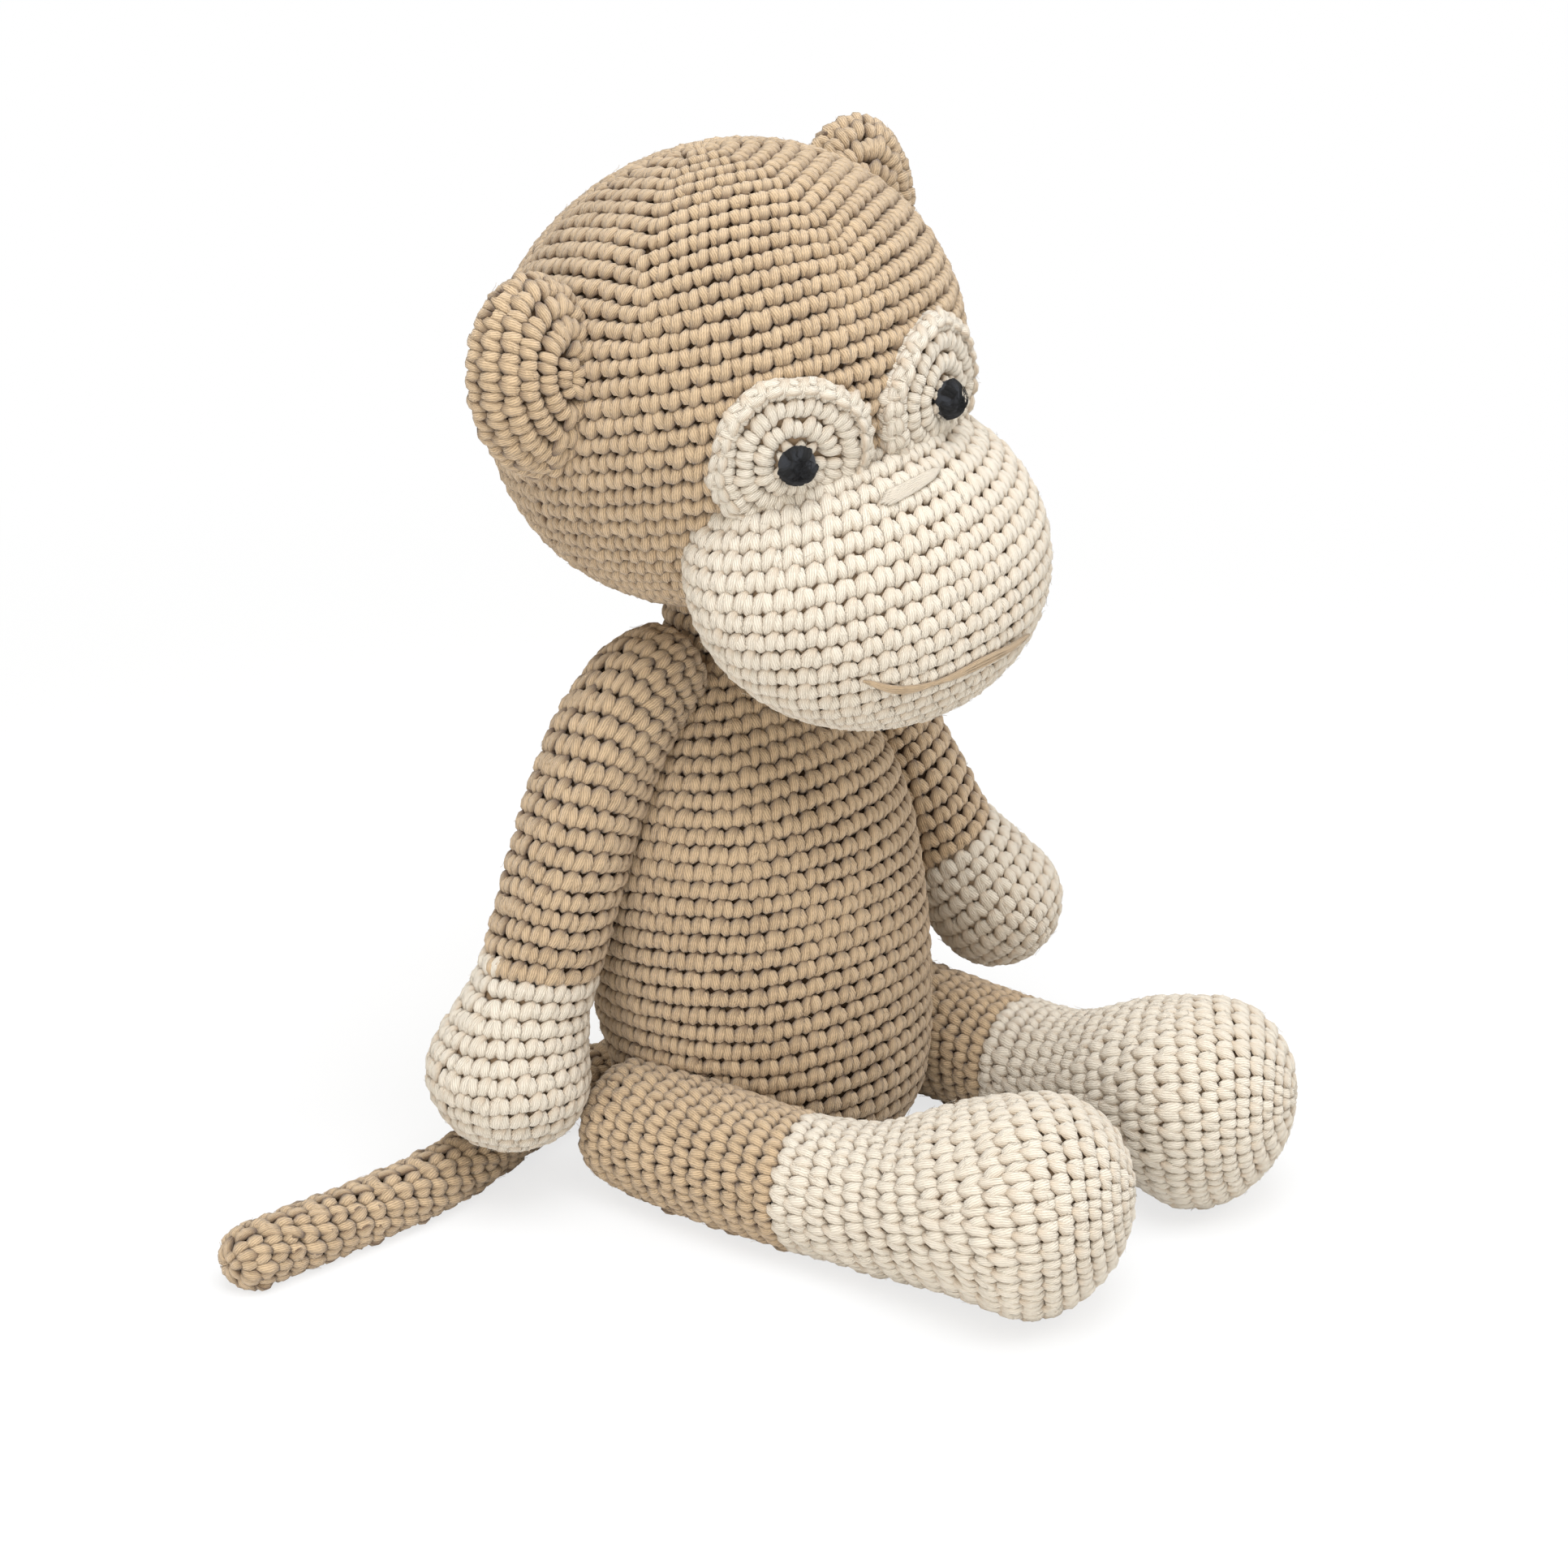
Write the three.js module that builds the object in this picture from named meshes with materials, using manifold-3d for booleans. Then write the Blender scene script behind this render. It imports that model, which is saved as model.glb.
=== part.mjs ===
// A sitting crochet monkey: stuffed crochet covers, sewn together at the neck, shoulders, hips and tail.
// Millimetres, +Z up. The monkey faces -Y, its right side is -X, and it sits on the floor at z = 0.
import * as THREE from 'three';
import { mergeVertices } from 'three/addons/utils/BufferGeometryUtils.js';
import Module from 'manifold-3d';

const wasm = await Module();
wasm.setup();

// Crochet cover and clearances
const COVER = 3.2;
const SEAM_GAP = 0.3;
const TURNED_GAP = 0.9;
const SWEEP_STEP = 15;

// Torso, measured along an axis that leans back from the seat
const TORSO_LEAN = 10.5;
const TORSO_BASE_Y = -7;
const TORSO_UNDERSIDE = -3;
const TORSO_HEIGHT = 142;
const TORSO_SEAT_RADIUS = 32;
const TORSO_HIP_RADIUS = 43.5;
const TORSO_BELLY_RADIUS = 49;
const TORSO_CHEST_RADIUS = 46.5;
const TORSO_SHOULDER_RADIUS = 31;
const TORSO_HIP_HEIGHT = 18;
const TORSO_BELLY_HEIGHT = 62;
const TORSO_CHEST_HEIGHT = 102;
const TORSO_SHOULDER_HEIGHT = 128;

// Neck, a short tube whose round foot rocks in the collar of the torso
const NECK_RADIUS = 13.3;
const NECK_RISE = 5;
const NECK_HOLE_RADIUS = 8;
const HEAD_TURN_LIMIT = 25;

// Head, a stuffed ball with its crown leaning back, turned and tilted to its right
const HEAD_CENTRE = [0, 13.5, 219];
const HEAD_HALF_WIDTH = 66;
const HEAD_HALF_DEPTH = 67;
const HEAD_HALF_HEIGHT = 60;
const HEAD_CROWN_LEAN = 42;
const HEAD_TURN = -14;
const HEAD_SIDE_TILT = 11;

// Muzzle, an oval bowl sewn to the lower front of the head; places on the head are [across, forward, up]
const MUZZLE_CENTRE = [0, -52.5, -40.9];
const MUZZLE_HALF_WIDTH = 53;
const MUZZLE_HALF_LENGTH = 45.3;
const MUZZLE_HALF_DEPTH = 31;
const MUZZLE_TILT = 51;

// Ears, round bowls that face forward from the sides of the head
const EAR_HALF_WIDTH = 20;
const EAR_HALF_HEIGHT = 26.5;
const EAR_DOME = 15;
const EAR_BACK = 5;
const EAR_RIGHT = { place: [-63.5, -8.5, 24], turn: 5, lean: -2 };
const EAR_LEFT = { place: [56, 12, 26], turn: 0, lean: -18 };

// Eyes: a flat round patch on the head and a yarn knot for the pupil
const EYE_SPACING = 48.6;
const EYE_DROP = 2.4;
const EYE_PATCH_RADIUS = 21.3;
const EYE_PATCH_THICKNESS = 3.4;
const PUPIL_RADIUS = 5.4;
const PUPIL_BULGE = 5.2;

// Embroidered nose and mouth, as [across, up] on the front of the muzzle
const NOSE_MIDDLE = [2.6, -17];
const NOSE_HALF_WIDTH = 10;
const NOSE_RADIUS = 1.5;
const NOSE_STRANDS = 3;
const NOSE_SPACING = 1.5;
const MOUTH_RADIUS = 1.1;
const MOUTH_ROUTE = [[-30, -55.5], [-21, -61], [-9, -62.5], [4, -62.5], [15, -63.3], [24, -64]];

// Arms, from the sewn shoulder to the end of the hand; routes run from the shoulder's pivot.
// A toed-out shoulder carries the hand outwards as the arm swings forward.
const SHOULDER_PIVOT = [0, 18, 140];
const ARM_ROOT_RADIUS = 12.5;
const ARM_RADIUS = 16;
const ARM_RIGHT = {
  route: [[-14, 0.5, 1], [-29, 0, -2], [-43, -0.5, -11], [-54.5, -0.5, -27], [-62.5, 0.5, -46], [-70, 3, -70],
    [-76.5, 6.5, -91], [-81.5, 9.5, -112.5], [-84.5, 11, -122.5]],
  handRadius: 22.4,
  handLength: 49,
  toeOut: 12,
  swing: [-15, 75],
};
const ARM_LEFT = {
  route: [[14, 0, 0], [30, -1, -2], [46, -6, -12], [56.5, -11, -27], [61, -15, -40], [65, -22.5, -55.5],
    [71, -28.5, -71.5], [80, -40, -89.5], [88, -50.5, -104]],
  handRadius: 19.4,
  handLength: 45,
  toeOut: 0,
  swing: [-10, 50],
};

// Legs, from the sewn hip to the toe
const HIP_PIVOT = [0, 6, 18];
const LEG_ROOT_RADIUS = 14;
const LEG_RADIUS = 18.4;
const ANKLE_RADIUS = 20.6;
const FOOT_RADIUS = 30;
const TOE_LENGTH = 26;
const FOOT_LENGTH = 96;
const LEG_ROUTE = [[50, 18, 18], [50.5, 5, 18], [51, -20, 18], [49.5, -50, 18], [46, -78, 20],
  [42, -104, 26.5], [39, -124, 29.5], [37.5, -145, 29.5]];
const LEG_SWING = [0, 90];

// Tail, from the sewn end at the back of the torso round to the right side
const TAIL_RADIUS = 8.5;
const TAIL_COVER = 2.5;
const TAIL_PIVOT = [0, 33, 8.5];
const TAIL_SWING = [-90, 0];
const TAIL_ROUTE = [[4, 22, 9], [-3, 40, 8.6], [-19, 49.5, 8], [-42, 48.5, 8], [-65, 43, 8], [-95, 38.5, 8],
  [-130, 41, 8], [-166, 46.5, 8]];

// Faces round a form and rings along it
const BODY_SIDES = 24;
const INNER_SIDES = 16;
const LIMB_SIDES = 16;
const TAIL_SIDES = 10;
const SMALL_SIDES = 8;
const LIMB_RINGS = 18;
const INNER_RINGS = 12;

const YARN_TAN = new THREE.MeshStandardMaterial({ name: 'tan_yarn', color: 0xbfa27c, roughness: 0.95 });
const YARN_CREAM = new THREE.MeshStandardMaterial({ name: 'cream_yarn', color: 0xece3d0, roughness: 0.95 });
const YARN_BLACK = new THREE.MeshStandardMaterial({ name: 'black_yarn', color: 0x23262b, roughness: 0.95 });
const FIBRE = new THREE.MeshStandardMaterial({ name: 'filling_fibre', color: 0xf4f4f2, roughness: 1 });

const radians = THREE.MathUtils.degToRad;
const vector = (point) => new THREE.Vector3(...point);
const unit = new THREE.Vector3(1, 1, 1);

// A closed geometry as a solid for joining and cutting
function solidOf(geometry) {
  const bare = geometry.clone();
  bare.deleteAttribute('normal');
  bare.deleteAttribute('uv');
  const merged = mergeVertices(bare, 1e-4);
  const vertProperties = new Float32Array(merged.attributes.position.array);
  const corners = merged.index.array;
  const triVerts = [];
  for (let i = 0; i < corners.length; i += 3) {
    const [a, b, c] = [corners[i], corners[i + 1], corners[i + 2]];
    if (a !== b && b !== c && c !== a) triVerts.push(a, b, c);
  }
  const mesh = new wasm.Mesh({ numProp: 3, vertProperties, triVerts: new Uint32Array(triVerts) });
  return new wasm.Manifold(mesh);
}

function geometryOf(solid) {
  const mesh = solid.getMesh();
  const geometry = new THREE.BufferGeometry();
  geometry.setAttribute('position', new THREE.BufferAttribute(new Float32Array(mesh.vertProperties), 3));
  geometry.setIndex(Array.from(mesh.triVerts));
  geometry.computeVertexNormals();
  return geometry;
}

// A revolved solid about +Z from [radius, height] points that start and end on the axis
function revolved(profile, sides) {
  const points = profile.map(([radius, height]) => new THREE.Vector2(radius, height));
  return new THREE.LatheGeometry(points, sides).rotateX(Math.PI / 2);
}

// An ellipsoid about the origin, its pole along +Z
function ellipsoid(halfX, halfY, halfZ, sides) {
  const rings = Math.round(sides / 2);
  const profile = [];
  for (let i = 0; i <= rings; i += 1) {
    const angle = -Math.PI / 2 + (Math.PI * i) / rings;
    profile.push([i === 0 || i === rings ? 0 : Math.cos(angle), Math.sin(angle)]);
  }
  return revolved(profile, sides).scale(halfX, halfY, halfZ);
}

// A smooth radius along a form from [share of length, radius] stations
function radiusAlong(stations) {
  const curve = new THREE.SplineCurve(stations.map(([share, radius]) => new THREE.Vector2(share, radius)));
  const samples = curve.getPoints(stations.length * 8);
  return (share) => {
    const next = samples.findIndex((point) => point.x >= share);
    if (next <= 0) return samples[next < 0 ? samples.length - 1 : 0].y;
    const [a, b] = [samples[next - 1], samples[next]];
    return a.y + ((b.y - a.y) * (share - a.x)) / (b.x - a.x);
  };
}

// A stuffed tube along a curve: rings of the given radius, rounded off at each end, drawn in by an inset
function stuffedTube(curve, radiusAt, { rings, sides, startCap, endCap, inset = 0 }) {
  const length = curve.getLength();
  const [first, last] = [inset / length, 1 - inset / length];
  const frames = curve.computeFrenetFrames(200, false);
  const positions = [...curve.getPointAt(first).toArray()];
  for (let ring = 1; ring < rings; ring += 1) {
    const share = first + (last - first) * (0.5 - 0.5 * Math.cos((Math.PI * ring) / rings));
    const fromStart = (share - first) * length;
    const toEnd = (last - share) * length;
    const startRound = fromStart < startCap ? Math.sqrt(1 - (1 - fromStart / startCap) ** 2) : 1;
    const endRound = toEnd < endCap ? Math.sqrt(1 - (1 - toEnd / endCap) ** 2) : 1;
    const radius = Math.max((radiusAt(share) - inset) * startRound * endRound, 0.4);
    const centre = curve.getPointAt(share);
    const frame = Math.round(share * 200);
    for (let i = 0; i < sides; i += 1) {
      const angle = (2 * Math.PI * i) / sides;
      const point = centre.clone().addScaledVector(frames.normals[frame], radius * Math.cos(angle))
        .addScaledVector(frames.binormals[frame], radius * Math.sin(angle));
      positions.push(...point.toArray());
    }
  }
  positions.push(...curve.getPointAt(last).toArray());
  const tip = positions.length / 3 - 1;
  const top = tip - sides;
  const index = [];
  for (let i = 0; i < sides; i += 1) {
    const next = (i + 1) % sides;
    index.push(0, 1 + next, 1 + i);
    for (let here = 1; here < top; here += sides) {
      const above = here + sides;
      index.push(here + i, here + next, above + next, here + i, above + next, above + i);
    }
    index.push(tip, top + i, top + next);
  }
  const geometry = new THREE.BufferGeometry();
  geometry.setAttribute('position', new THREE.BufferAttribute(new Float32Array(positions), 3));
  geometry.setIndex(index);
  return geometry;
}

// Everything under a level, as a cutter that flattens what rests on the floor
function below(level) {
  const size = 800;
  return solidOf(new THREE.BoxGeometry(size, size, size).translate(0, 0, level - size / 2));
}

const monkey = new THREE.Group();
monkey.name = 'crochet_monkey';

function addPiece(name, shape, material, parent = monkey) {
  const mesh = new THREE.Mesh(shape instanceof wasm.Manifold ? geometryOf(shape) : shape, material);
  mesh.name = name;
  parent.add(mesh);
  return mesh;
}

// Torso
const torsoFrame = new THREE.Matrix4().makeTranslation(0, TORSO_BASE_Y, 0)
  .multiply(new THREE.Matrix4().makeRotationX(-radians(TORSO_LEAN)));

function torsoForm(inset, rings, sides) {
  const wall = new THREE.SplineCurve([
    new THREE.Vector2(TORSO_SEAT_RADIUS * 0.6 - inset, TORSO_UNDERSIDE + inset),
    new THREE.Vector2(TORSO_SEAT_RADIUS - inset * 0.8, TORSO_UNDERSIDE + 3 + inset * 0.8),
    new THREE.Vector2(TORSO_HIP_RADIUS - inset, TORSO_HIP_HEIGHT),
    new THREE.Vector2(TORSO_BELLY_RADIUS - inset, TORSO_BELLY_HEIGHT),
    new THREE.Vector2(TORSO_CHEST_RADIUS - inset, TORSO_CHEST_HEIGHT),
    new THREE.Vector2(TORSO_SHOULDER_RADIUS - inset, TORSO_SHOULDER_HEIGHT - inset * 0.4),
    new THREE.Vector2(NECK_RADIUS + COVER - 1 - inset, TORSO_HEIGHT - inset * 0.4),
  ]).getPoints(rings).map((point) => [point.x, point.y]);
  const profile = [[0, TORSO_UNDERSIDE + inset], ...wall, [0, TORSO_HEIGHT - inset * 0.4]];
  return revolved(profile, sides).applyMatrix4(torsoFrame);
}

const floor = below(0);
const torsoOutside = solidOf(torsoForm(0, 14, BODY_SIDES)).subtract(floor);
const torsoInside = solidOf(torsoForm(COVER, 8, INNER_SIDES)).subtract(below(COVER));
const torsoCore = solidOf(torsoForm(COVER + SEAM_GAP, 8, INNER_SIDES)).subtract(below(COVER + SEAM_GAP));
const neckPivot = new THREE.Vector3(0, 0, TORSO_HEIGHT + NECK_RISE).applyMatrix4(torsoFrame);
const collarRadius = NECK_RADIUS + SEAM_GAP;
const collar = solidOf(ellipsoid(collarRadius, collarRadius, collarRadius, BODY_SIDES)
  .applyMatrix4(torsoFrame.clone().setPosition(neckPivot)));
addPiece('torso_cover', torsoOutside.subtract(torsoInside).subtract(collar), YARN_TAN);
addPiece('torso_filling', torsoCore.subtract(collar), FIBRE);

// Head; everything on it is placed in its turned and tilted frame
const headFrame = new THREE.Matrix4().makeTranslation(...HEAD_CENTRE)
  .multiply(new THREE.Matrix4().makeRotationZ(radians(HEAD_TURN)))
  .multiply(new THREE.Matrix4().makeRotationY(-radians(HEAD_SIDE_TILT)));
const head = new THREE.Group();
head.applyMatrix4(headFrame);
monkey.add(head);

function headForm(inset, sides) {
  return ellipsoid(HEAD_HALF_WIDTH - inset, HEAD_HALF_DEPTH - inset, HEAD_HALF_HEIGHT - inset, sides)
    .rotateX(-radians(HEAD_CROWN_LEAN));
}

// Neck, on the line from its pivot to the middle of the head
const neckAxis = vector(HEAD_CENTRE).sub(neckPivot).normalize();
const neckTurn = new THREE.Quaternion().setFromUnitVectors(new THREE.Vector3(0, 0, 1), neckAxis);
const neckFrame = new THREE.Matrix4().compose(neckPivot, neckTurn, unit);
const neckTop = vector(HEAD_CENTRE).distanceTo(neckPivot) - HEAD_HALF_HEIGHT + NECK_RADIUS;

function neckForm(inset) {
  const radius = NECK_RADIUS - inset;
  const profile = [[0, -radius]];
  for (let i = 1; i <= 5; i += 1) {
    const angle = (Math.PI / 2) * (i / 5);
    profile.push([radius * Math.sin(angle), -radius * Math.cos(angle)]);
  }
  profile.push([radius, neckTop], [0, neckTop]);
  return solidOf(revolved(profile, INNER_SIDES).applyMatrix4(neckFrame));
}

// The room that the head takes as it turns on the neck
let headRoom = solidOf(headForm(-SEAM_GAP, BODY_SIDES).applyMatrix4(headFrame));
for (const turn of [-1, -0.5, 0.5, 1]) {
  const swivel = new THREE.Matrix4().makeTranslation(...neckPivot.toArray())
    .multiply(new THREE.Matrix4().makeRotationAxis(neckAxis, radians(turn * HEAD_TURN_LIMIT)))
    .multiply(new THREE.Matrix4().makeTranslation(...neckPivot.clone().negate().toArray()));
  const turned = headForm(-TURNED_GAP, BODY_SIDES).applyMatrix4(headFrame).applyMatrix4(swivel);
  headRoom = headRoom.add(solidOf(turned));
}
const neckHole = new THREE.CylinderGeometry(NECK_HOLE_RADIUS, NECK_HOLE_RADIUS, 80, TAIL_SIDES)
  .rotateX(Math.PI / 2).applyMatrix4(neckFrame);
const neckShell = neckForm(0).subtract(neckForm(COVER)).subtract(solidOf(neckHole));
addPiece('neck_cover', neckShell.subtract(headRoom), YARN_TAN);
addPiece('neck_filling', neckForm(COVER + SEAM_GAP).subtract(headRoom), FIBRE);

const headSurface = solidOf(headForm(-SEAM_GAP, BODY_SIDES));
const headHole = solidOf(neckHole.clone().applyMatrix4(headFrame.clone().invert()));
const headInside = solidOf(headForm(COVER, INNER_SIDES)).add(headHole);
addPiece('head_cover', solidOf(headForm(0, BODY_SIDES)).subtract(headInside), YARN_TAN, head);
addPiece('head_filling', solidOf(headForm(COVER + SEAM_GAP, INNER_SIDES)), FIBRE, head);

// Muzzle
const muzzleFrame = new THREE.Matrix4().makeTranslation(...MUZZLE_CENTRE)
  .multiply(new THREE.Matrix4().makeRotationX(radians(MUZZLE_TILT)));

function muzzleForm(inset, sides) {
  const half = [MUZZLE_HALF_WIDTH - inset, MUZZLE_HALF_LENGTH - inset, MUZZLE_HALF_DEPTH - inset];
  return solidOf(ellipsoid(...half, sides).applyMatrix4(muzzleFrame));
}

const muzzleShell = muzzleForm(0, BODY_SIDES).subtract(muzzleForm(COVER, INNER_SIDES));
addPiece('muzzle_cover', muzzleShell.subtract(headSurface), YARN_CREAM, head);
addPiece('muzzle_filling', muzzleForm(COVER + SEAM_GAP, INNER_SIDES).subtract(headSurface), FIBRE, head);

// The point of the muzzle's front at a place across and up the face, raised off the surface
function onMuzzle([across, up], raised) {
  const inverse = muzzleFrame.clone().invert();
  const scale = new THREE.Vector3(MUZZLE_HALF_WIDTH, MUZZLE_HALF_LENGTH, MUZZLE_HALF_DEPTH);
  let [outside, inside] = [MUZZLE_CENTRE[1] - 2 * MUZZLE_HALF_LENGTH, MUZZLE_CENTRE[1] - 12];
  for (let i = 0; i < 40; i += 1) {
    const middle = (outside + inside) / 2;
    const reach = new THREE.Vector3(across, middle, up).applyMatrix4(inverse).divide(scale).length();
    if (reach > 1) outside = middle;
    else inside = middle;
  }
  const local = new THREE.Vector3(across, outside, up).applyMatrix4(inverse);
  const normal = local.clone().divide(scale).divide(scale).transformDirection(muzzleFrame);
  return local.applyMatrix4(muzzleFrame).addScaledVector(normal, raised);
}

const muzzleSurface = muzzleForm(-SEAM_GAP, BODY_SIDES);
function strandOver(places, radius, rings) {
  const curve = new THREE.CatmullRomCurve3(places.map((place) => onMuzzle(place, radius * 0.8)));
  return solidOf(stuffedTube(curve, () => radius, { rings, sides: 6, startCap: 3, endCap: 3 }));
}

const mouth = strandOver(MOUTH_ROUTE, MOUTH_RADIUS, 16);
addPiece('mouth_stitch', mouth.subtract(muzzleSurface), YARN_TAN, head);
let nose = null;
for (let i = 0; i < NOSE_STRANDS; i += 1) {
  const up = NOSE_MIDDLE[1] + (i - (NOSE_STRANDS - 1) / 2) * NOSE_SPACING;
  const places = [-1, 0, 1].map((share) => [NOSE_MIDDLE[0] + share * NOSE_HALF_WIDTH, up]);
  const strand = strandOver(places, NOSE_RADIUS, 7);
  nose = nose ? nose.add(strand) : strand;
}
addPiece('nose_stitch', nose.subtract(muzzleSurface), YARN_CREAM, head);

// Ears, each a bowl over the side of the head, open where it is sewn on
function earForm(inset, { place, turn, lean }) {
  const quarter = (depth, i) => depth * Math.sin((Math.PI / 2) * (i / 5));
  const rim = (i) => (i === 5 ? 0 : Math.cos((Math.PI / 2) * (i / 5)));
  const outline = [];
  for (let i = 5; i > 0; i -= 1) outline.push([rim(i), -quarter(EAR_BACK - inset, i)]);
  for (let i = 0; i <= 5; i += 1) outline.push([rim(i), quarter(EAR_DOME - inset, i)]);
  return solidOf(revolved(outline, INNER_SIDES).rotateX(Math.PI / 2)
    .scale(EAR_HALF_WIDTH - inset, 1, EAR_HALF_HEIGHT - inset)
    .rotateY(-radians(lean)).rotateZ(radians(turn)).translate(...place));
}

for (const [side, ear] of [['right', EAR_RIGHT], ['left', EAR_LEFT]]) {
  const bowl = earForm(0, ear).subtract(earForm(COVER, ear));
  addPiece(`ear_${side}`, bowl.subtract(headSurface), YARN_TAN, head);
}

// Eyes
for (const [side, sign] of [['right', -1], ['left', 1]]) {
  const aim = new THREE.Vector3((sign * EYE_SPACING) / 2, 0, -EYE_DROP);
  aim.y = -Math.sqrt(HEAD_HALF_WIDTH ** 2 - aim.x ** 2 - aim.z ** 2);
  const outward = aim.clone().normalize();
  const turn = new THREE.Quaternion().setFromUnitVectors(new THREE.Vector3(0, 0, 1), outward);
  const round = new THREE.CylinderGeometry(EYE_PATCH_RADIUS, EYE_PATCH_RADIUS, HEAD_HALF_DEPTH, LIMB_SIDES);
  const disc = solidOf(round.rotateX(Math.PI / 2).translate(0, 0, HEAD_HALF_DEPTH).applyQuaternion(turn));
  const patchTop = solidOf(headForm(-SEAM_GAP - EYE_PATCH_THICKNESS, BODY_SIDES));
  const patch = patchTop.subtract(headSurface).intersect(disc).subtract(muzzleSurface);
  addPiece(`eye_patch_${side}`, patch, YARN_CREAM, head);
  const crownBack = new THREE.Matrix4().makeRotationX(radians(HEAD_CROWN_LEAN));
  const upright = outward.clone().applyMatrix4(crownBack);
  const cover = SEAM_GAP + EYE_PATCH_THICKNESS;
  const halves = new THREE.Vector3(HEAD_HALF_WIDTH, HEAD_HALF_DEPTH, HEAD_HALF_HEIGHT).addScalar(cover);
  const reach = 1 / upright.divide(halves).length();
  const knot = solidOf(ellipsoid(PUPIL_RADIUS, PUPIL_RADIUS, PUPIL_BULGE, TAIL_SIDES).applyQuaternion(turn)
    .translate(...outward.clone().multiplyScalar(reach).toArray()));
  const underKnot = solidOf(headForm(-SEAM_GAP * 2 - EYE_PATCH_THICKNESS, BODY_SIDES));
  addPiece(`pupil_${side}`, knot.subtract(underKnot), YARN_BLACK, head);
}

// The room that a limb leaves for the torso at rest and through its whole swing about an axis
function torsoSweep(pivot, axis, [from, to]) {
  const steps = Math.ceil((to - from) / SWEEP_STEP);
  let sweep = solidOf(torsoForm(-SEAM_GAP, 14, BODY_SIDES));
  for (let i = 0; i <= steps; i += 1) {
    const swing = from + ((to - from) * i) / steps;
    const matrix = new THREE.Matrix4().makeTranslation(...pivot)
      .multiply(new THREE.Matrix4().makeRotationAxis(vector(axis), radians(-swing)))
      .multiply(new THREE.Matrix4().makeTranslation(-pivot[0], -pivot[1], -pivot[2]));
    if (swing !== 0) sweep = sweep.add(solidOf(torsoForm(-TURNED_GAP, 14, BODY_SIDES).applyMatrix4(matrix)));
  }
  return sweep;
}

// A limb of two yarns: the covers are cut across at the change of yarn, over one length of filling
function limbPieces(route, radiusAt, caps, change, room) {
  const curve = new THREE.CatmullRomCurve3(route.map(vector));
  const share = 1 - change / curve.getLength();
  const along = curve.getTangentAt(share);
  const turn = new THREE.Quaternion().setFromUnitVectors(new THREE.Vector3(0, 0, 1), along);
  const size = 400;
  const beyond = (offset) => {
    const place = curve.getPointAt(share).addScaledVector(along, offset);
    const matrix = new THREE.Matrix4().compose(place, turn, unit);
    return solidOf(new THREE.BoxGeometry(size, size, size).translate(0, 0, size / 2).applyMatrix4(matrix));
  };
  const form = (inset, rings, sides) => {
    const fineness = { rings, sides };
    return solidOf(stuffedTube(curve, radiusAt, { ...caps, ...fineness, inset }));
  };
  const hollow = form(COVER, INNER_RINGS, TAIL_SIDES);
  const cover = form(0, LIMB_RINGS, LIMB_SIDES).subtract(hollow).subtract(room);
  return {
    upper: cover.subtract(beyond(-SEAM_GAP / 2)),
    lower: cover.intersect(beyond(SEAM_GAP / 2)),
    core: form(COVER + SEAM_GAP, INNER_RINGS, TAIL_SIDES).subtract(room),
  };
}

// Arms
for (const [side, sign, arm] of [['right', -1, ARM_RIGHT], ['left', 1, ARM_LEFT]]) {
  const radiusAt = radiusAlong([[0, ARM_ROOT_RADIUS], [0.12, ARM_RADIUS - 1], [0.35, ARM_RADIUS],
    [0.66, ARM_RADIUS], [0.74, ARM_RADIUS + 1.6], [0.86, arm.handRadius], [1, arm.handRadius]]);
  const route = arm.route.map((point) => vector(point).add(vector(SHOULDER_PIVOT)).toArray());
  const toeOut = radians(arm.toeOut);
  const room = torsoSweep(SHOULDER_PIVOT, [-Math.cos(toeOut), -sign * Math.sin(toeOut), 0], arm.swing);
  const caps = { startCap: 8, endCap: arm.handRadius };
  const pieces = limbPieces(route, radiusAt, caps, arm.handLength, room);
  addPiece(`arm_${side}`, pieces.upper, YARN_TAN);
  addPiece(`hand_${side}`, pieces.lower, YARN_CREAM);
  addPiece(`arm_${side}_filling`, pieces.core, FIBRE);
}

// Legs
const legRadius = radiusAlong([[0, LEG_ROOT_RADIUS], [0.1, LEG_RADIUS], [0.45, LEG_RADIUS],
  [0.6, ANKLE_RADIUS], [0.78, FOOT_RADIUS - 3], [0.9, FOOT_RADIUS], [1, FOOT_RADIUS]]);
for (const [side, sign] of [['right', -1], ['left', 1]]) {
  const route = LEG_ROUTE.map(([x, y, z]) => [sign * x, y, z]);
  const room = torsoSweep(HIP_PIVOT, [1, 0, 0], LEG_SWING).add(floor);
  const pieces = limbPieces(route, legRadius, { startCap: 10, endCap: TOE_LENGTH }, FOOT_LENGTH, room);
  addPiece(`leg_${side}`, pieces.upper, YARN_TAN);
  addPiece(`foot_${side}`, pieces.lower, YARN_CREAM);
  addPiece(`leg_${side}_filling`, pieces.core, FIBRE);
}

// Tail
const tailCurve = new THREE.CatmullRomCurve3(TAIL_ROUTE.map(vector));
const tailForm = (inset, sides) => solidOf(stuffedTube(tailCurve, () => TAIL_RADIUS,
  { rings: 20, sides, startCap: 4, endCap: TAIL_RADIUS, inset }));
const torsoSurface = torsoSweep(TAIL_PIVOT, [0, 0, 1], TAIL_SWING);
const tailShell = tailForm(0, TAIL_SIDES).subtract(tailForm(TAIL_COVER, SMALL_SIDES));
addPiece('tail_cover', tailShell.subtract(torsoSurface).subtract(floor), YARN_TAN);
addPiece('tail_filling', tailForm(TAIL_COVER + SEAM_GAP, SMALL_SIDES).subtract(torsoSurface), FIBRE);

export default monkey;
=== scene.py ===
"""A seated crochet monkey: stuffed forms under covers worked in rounds of single crochet."""

import logging
import math
from dataclasses import dataclass, field
from enum import Enum
from typing import Callable

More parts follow.
